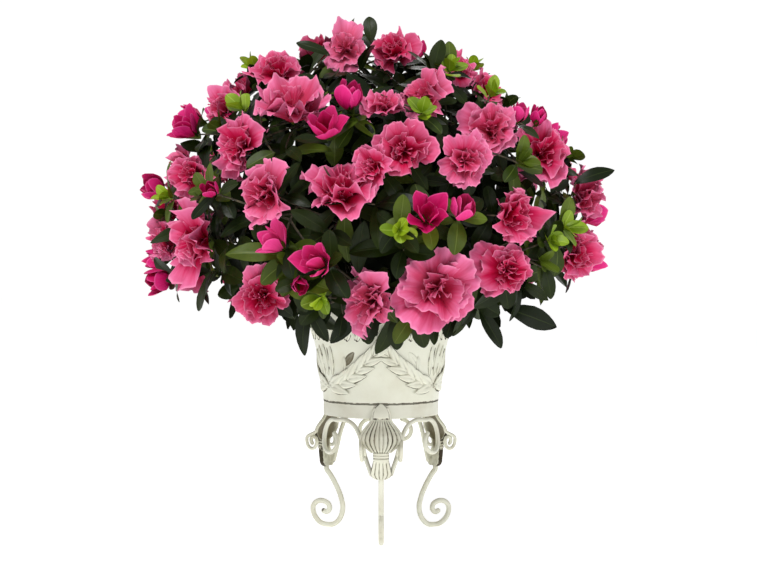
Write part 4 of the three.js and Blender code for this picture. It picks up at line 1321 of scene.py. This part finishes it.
def makeFlowers():
    piles, buds = [Pile() for _ in petalPieces], Pile()
    for number, spray in enumerate(sprays):
        random = seededRandom(900 + number)
        if spray["kind"] == "bloom":
            for level, (pile, row) in enumerate(zip(piles, whorls["bloom"])):
                whorl = dict(zip(whorlValues, row))
                root, tip = whorl["open"]
                whorl["open"] = (root, tip * (1 - spray["cupped"] * (bloom["closing"] + 0.1 * level)))
                addWhorl(pile, spray, whorl, level, level / 3, random)
            addStamens(piles[-1], spray, random)
        elif spray["kind"] == "bud":
            stage = "halfOpen" if spray["width"] > budWidths["closed"] else "closed"
            for level, row in enumerate(whorls[stage]):
                addWhorl(buds, spray, dict(zip(whorlValues, row)), level, level, random)
    for name, pile in zip(petalPieces, piles):
        makePiece(name, pile, "petalSilk")
    makePiece("magenta_buds", buds, "budSilk")


makeFlowers()
print("stage: blooms and buds")


# leaves

# Each form: length, width, how far out its belly lies, how blunt it is, and how far it droops.
leafForms = {
    "broad": (33, 16.5, 1.3, 0.55, 0.22),
    "long": (47, 16.5, 1.15, 0.66, 0.26),
    "sprout": (20, 13.5, 1.25, 0.5, 0.1),
    "sepal": (12, 5.5, 1.0, 0.8, -0.25),
}

# Where a leaf's rows and columns of points lie.
leafRows = {"fine": (0, 0.07, 0.18, 0.33, 0.5, 0.66, 0.8, 0.91, 0.97, 1), "coarse": (0, 0.15, 0.4, 0.68, 0.9, 1)}
leafColumns = {"fine": (-1, -0.68, -0.2, 0, 0.2, 0.68, 1), "coarse": (-1, -0.4, 0.4, 1)}
leafShades = {
    "dark": ("dark_leaves", "darkLeaf"),
    "deep": ("inner_leaves", "deepLeaf"),
    "fresh": ("fresh_leaves", "midLeaf"),
    "lime": ("lime_sprouts", "limeLeaf"),
}
leaf = {"fold": 0.13, "wave": 0.022, "ribWidth": 0.12, "potClearance": 2.6, "flowerRoom": 0.8}

rosette = {"turn": 137.5, "scatterTurn": 0.5, "scatterTilt": 22, "smallest": 0.8, "sizeRange": 0.42,
           "shrinks": (1, 0.8, 0.62)}

# What grows round the tip of each kind of spray: how many leaves, their forms, how they lean from the first to the
# last in degrees, how far behind the tip the first one grows, the step to the next, and their shades.
mixedShades = ("dark",) * 6 + ("fresh",)
rosettes = {
    "bloom": [(6, ("broad", "broad", "long"), (82, 104), 5, 3, mixedShades)],
    "bud": [(5, ("broad",), (52, 95), 4, 3, ("dark", "fresh"))],
    "leaves": [(7, ("broad", "long"), (38, 98), 0, 3, mixedShades)],
    "deep": [(7, ("broad", "long"), (40, 100), 0, 4, ("deep",))],
    "rosette": [(4, ("sprout",), (20, 50), -2, 1, ("fresh",)),
                (5, ("broad",), (55, 92), 2, 2.2, ("fresh", "fresh", "dark"))],
    "sprout": [(6, ("sprout",), (16, 68), -2, 1.2, ("lime",)),
               (5, ("broad",), (62, 95), 5, 2.4, ("fresh", "dark", "dark"))],
    "single": [],
}


def leafGrid(root, heading, upper, form, scale, random, detail="fine"):
    length, width, belly, blunt, droop = leafForms[form]
    length, width = length * scale, width * scale
    along, across = np.array(leafRows[detail])[:, None], np.array(leafColumns[detail])[None, :]
    side = unit(np.cross(heading, upper))
    normal = np.cross(side, heading)
    outline = np.clip(np.sin(math.pi * np.clip(along, 0.004, 0.996) ** belly), 0, 1) ** blunt
    sway, twist = (random() - 0.5) * 0.3, (random() - 0.5) * 0.7
    bend = droop * (0.5 + random())
    spread = across * width / 2 * outline
    lift = leaf["fold"] * np.abs(spread) * (0.4 + 1.6 * random()) + twist * spread * along
    lift = lift + leaf["wave"] * length * np.sin(along * 8 + 6 * random() + across) * np.abs(across)
    forward = (along - 0.2 * abs(bend) * along ** 2) * length
    grid = (root + forward[..., None] * heading + (spread + sway * along ** 2 * length)[..., None] * side
            + (lift - bend * along ** 2 * length)[..., None] * normal)
    return grid, markGrid(grid, along, swell(across, 0, leaf["ribWidth"]), random())


# Each flower keeps the leaves out of a ball round it.
def flowerBalls():
    balls = []
    for spray in sprays:
        if spray["kind"] == "bloom":
            radius = spray["width"] / 2
            balls.append((spray["tip"] + spray["facing"] * radius * 0.42, radius * leaf["flowerRoom"], spray))
        elif spray["kind"] == "bud":
            balls.append((spray["tip"] + spray["facing"] * 17, 12, spray))
    return balls


def clearOfFlowers(grid, own):
    points = grid[2:].reshape(-1, 3)
    for centre, radius, spray in balls:
        if spray is own or np.abs(centre - points[0]).sum() > 170:
            continue
        if np.min(np.linalg.norm(points - centre, axis=1)) < radius:
            return False
    return True


def clearOfPot(grid):
    height, wide = grid[..., 2], np.hypot(grid[..., 0], grid[..., 1])
    return not np.any((height < 255) & (wide < wallRadius(height) + leaf["potClearance"]))


def insideCrown(grid):
    offset = grid.reshape(-1, 3) - crownCentre
    distance = np.linalg.norm(offset, axis=1)
    elevation = np.degrees(np.arcsin(np.clip(offset[:, 2] / np.maximum(distance, 1), -1, 1)))
    reach = between(crown["reach"], elevation) + 4 - crownDent(offset / distance[:, None])
    return np.all(distance < np.where(elevation < -30, 185, reach))


# A whorl of leaves round a tip. Leaves that would cross a flower or the pot are made smaller or left off.
def addRosette(piles, spray, random, detail, count, forms, lean, firstBack, step, shades):
    outward = unit(spray["facing"] * 0.5 + spray["direction"])
    side = sidewaysOf(outward)
    firstTurn = random() * fullTurn
    for i in range(count):
        turn = firstTurn + math.radians(rosette["turn"]) * i + (random() - 0.5) * rosette["scatterTurn"]
        sideways = turned(side, outward, turn)
        root = spray["tip"] - outward * (firstBack + step * i)
        tilt = lean[0] + (lean[1] - lean[0]) * i / count + (random() - 0.5) * rosette["scatterTilt"]
        tilt = math.radians(tilt)
        heading = outward * math.cos(tilt) + sideways * math.sin(tilt)
        if spray["direction"][2] < -0.2:
            heading = unit(heading + np.array([0, 0, -0.3]))
        upper = unit(outward * 0.8 - sideways * 0.6 + np.array([0, 0, 0.4]))
        form = forms[int(random() * len(forms))]
        shade = shades[int(random() * len(shades))]
        size = rosette["smallest"] + rosette["sizeRange"] * random()
        for shrink in rosette["shrinks"]:
            grid, marks = leafGrid(root, heading, upper, form, size * shrink, random, detail)
            if insideCrown(grid) and clearOfPot(grid) and clearOfFlowers(grid, spray):
                piles[shade].addGrid(grid, marks)
                break


def addSepals(pile, spray, random):
    facing = spray["facing"]
    for i in range(4):
        sideways = turned(sidewaysOf(facing), facing, 1.57 * i + random() * 0.6)
        heading = unit(facing + sideways * 0.9)
        size = 1.15 if spray["kind"] == "bud" else 0.85
        pile.addGrid(*leafGrid(spray["tip"] - facing * 3.5, heading, facing, "sepal", size, random, "coarse"))


# One listed leaf set at the end of its own twig.
def addSetLeaf(piles, spray, random):
    right, up, nearer = spray["run"]
    heading = unit(np.array([right, -nearer, up], float))
    upper = unit(np.array([0.1, -1, 0.5]) + 0.3 * spray["direction"])
    form = "long" if spray["length"] > 36 else "broad"
    scale = spray["length"] / leafForms[form][0]
    piles[spray["shade"]].addGrid(*leafGrid(spray["tip"] - heading * 2, heading, upper, form, scale, random))


def makeLeaves():
    piles = {shade: Pile() for shade in leafShades}
    for number, spray in enumerate(sprays):
        random = seededRandom(5000 + number)
        kind = spray["kind"]
        for plan in rosettes[kind]:
            addRosette(piles, spray, random, "coarse" if kind == "deep" else "fine", *plan)
        if kind in ("bloom", "bud"):
            addSepals(piles["fresh"], spray, random)
        elif kind == "single":
            addSetLeaf(piles, spray, random)
    masses = ["mass_" + cell["name"] for cell in cells]
    for shade, (name, finishName) in leafShades.items():
        makePiece(name, piles[shade], finishName, masses if shade == "dark" else ())


balls = flowerBalls()
makeLeaves()
print("stage: leaves")
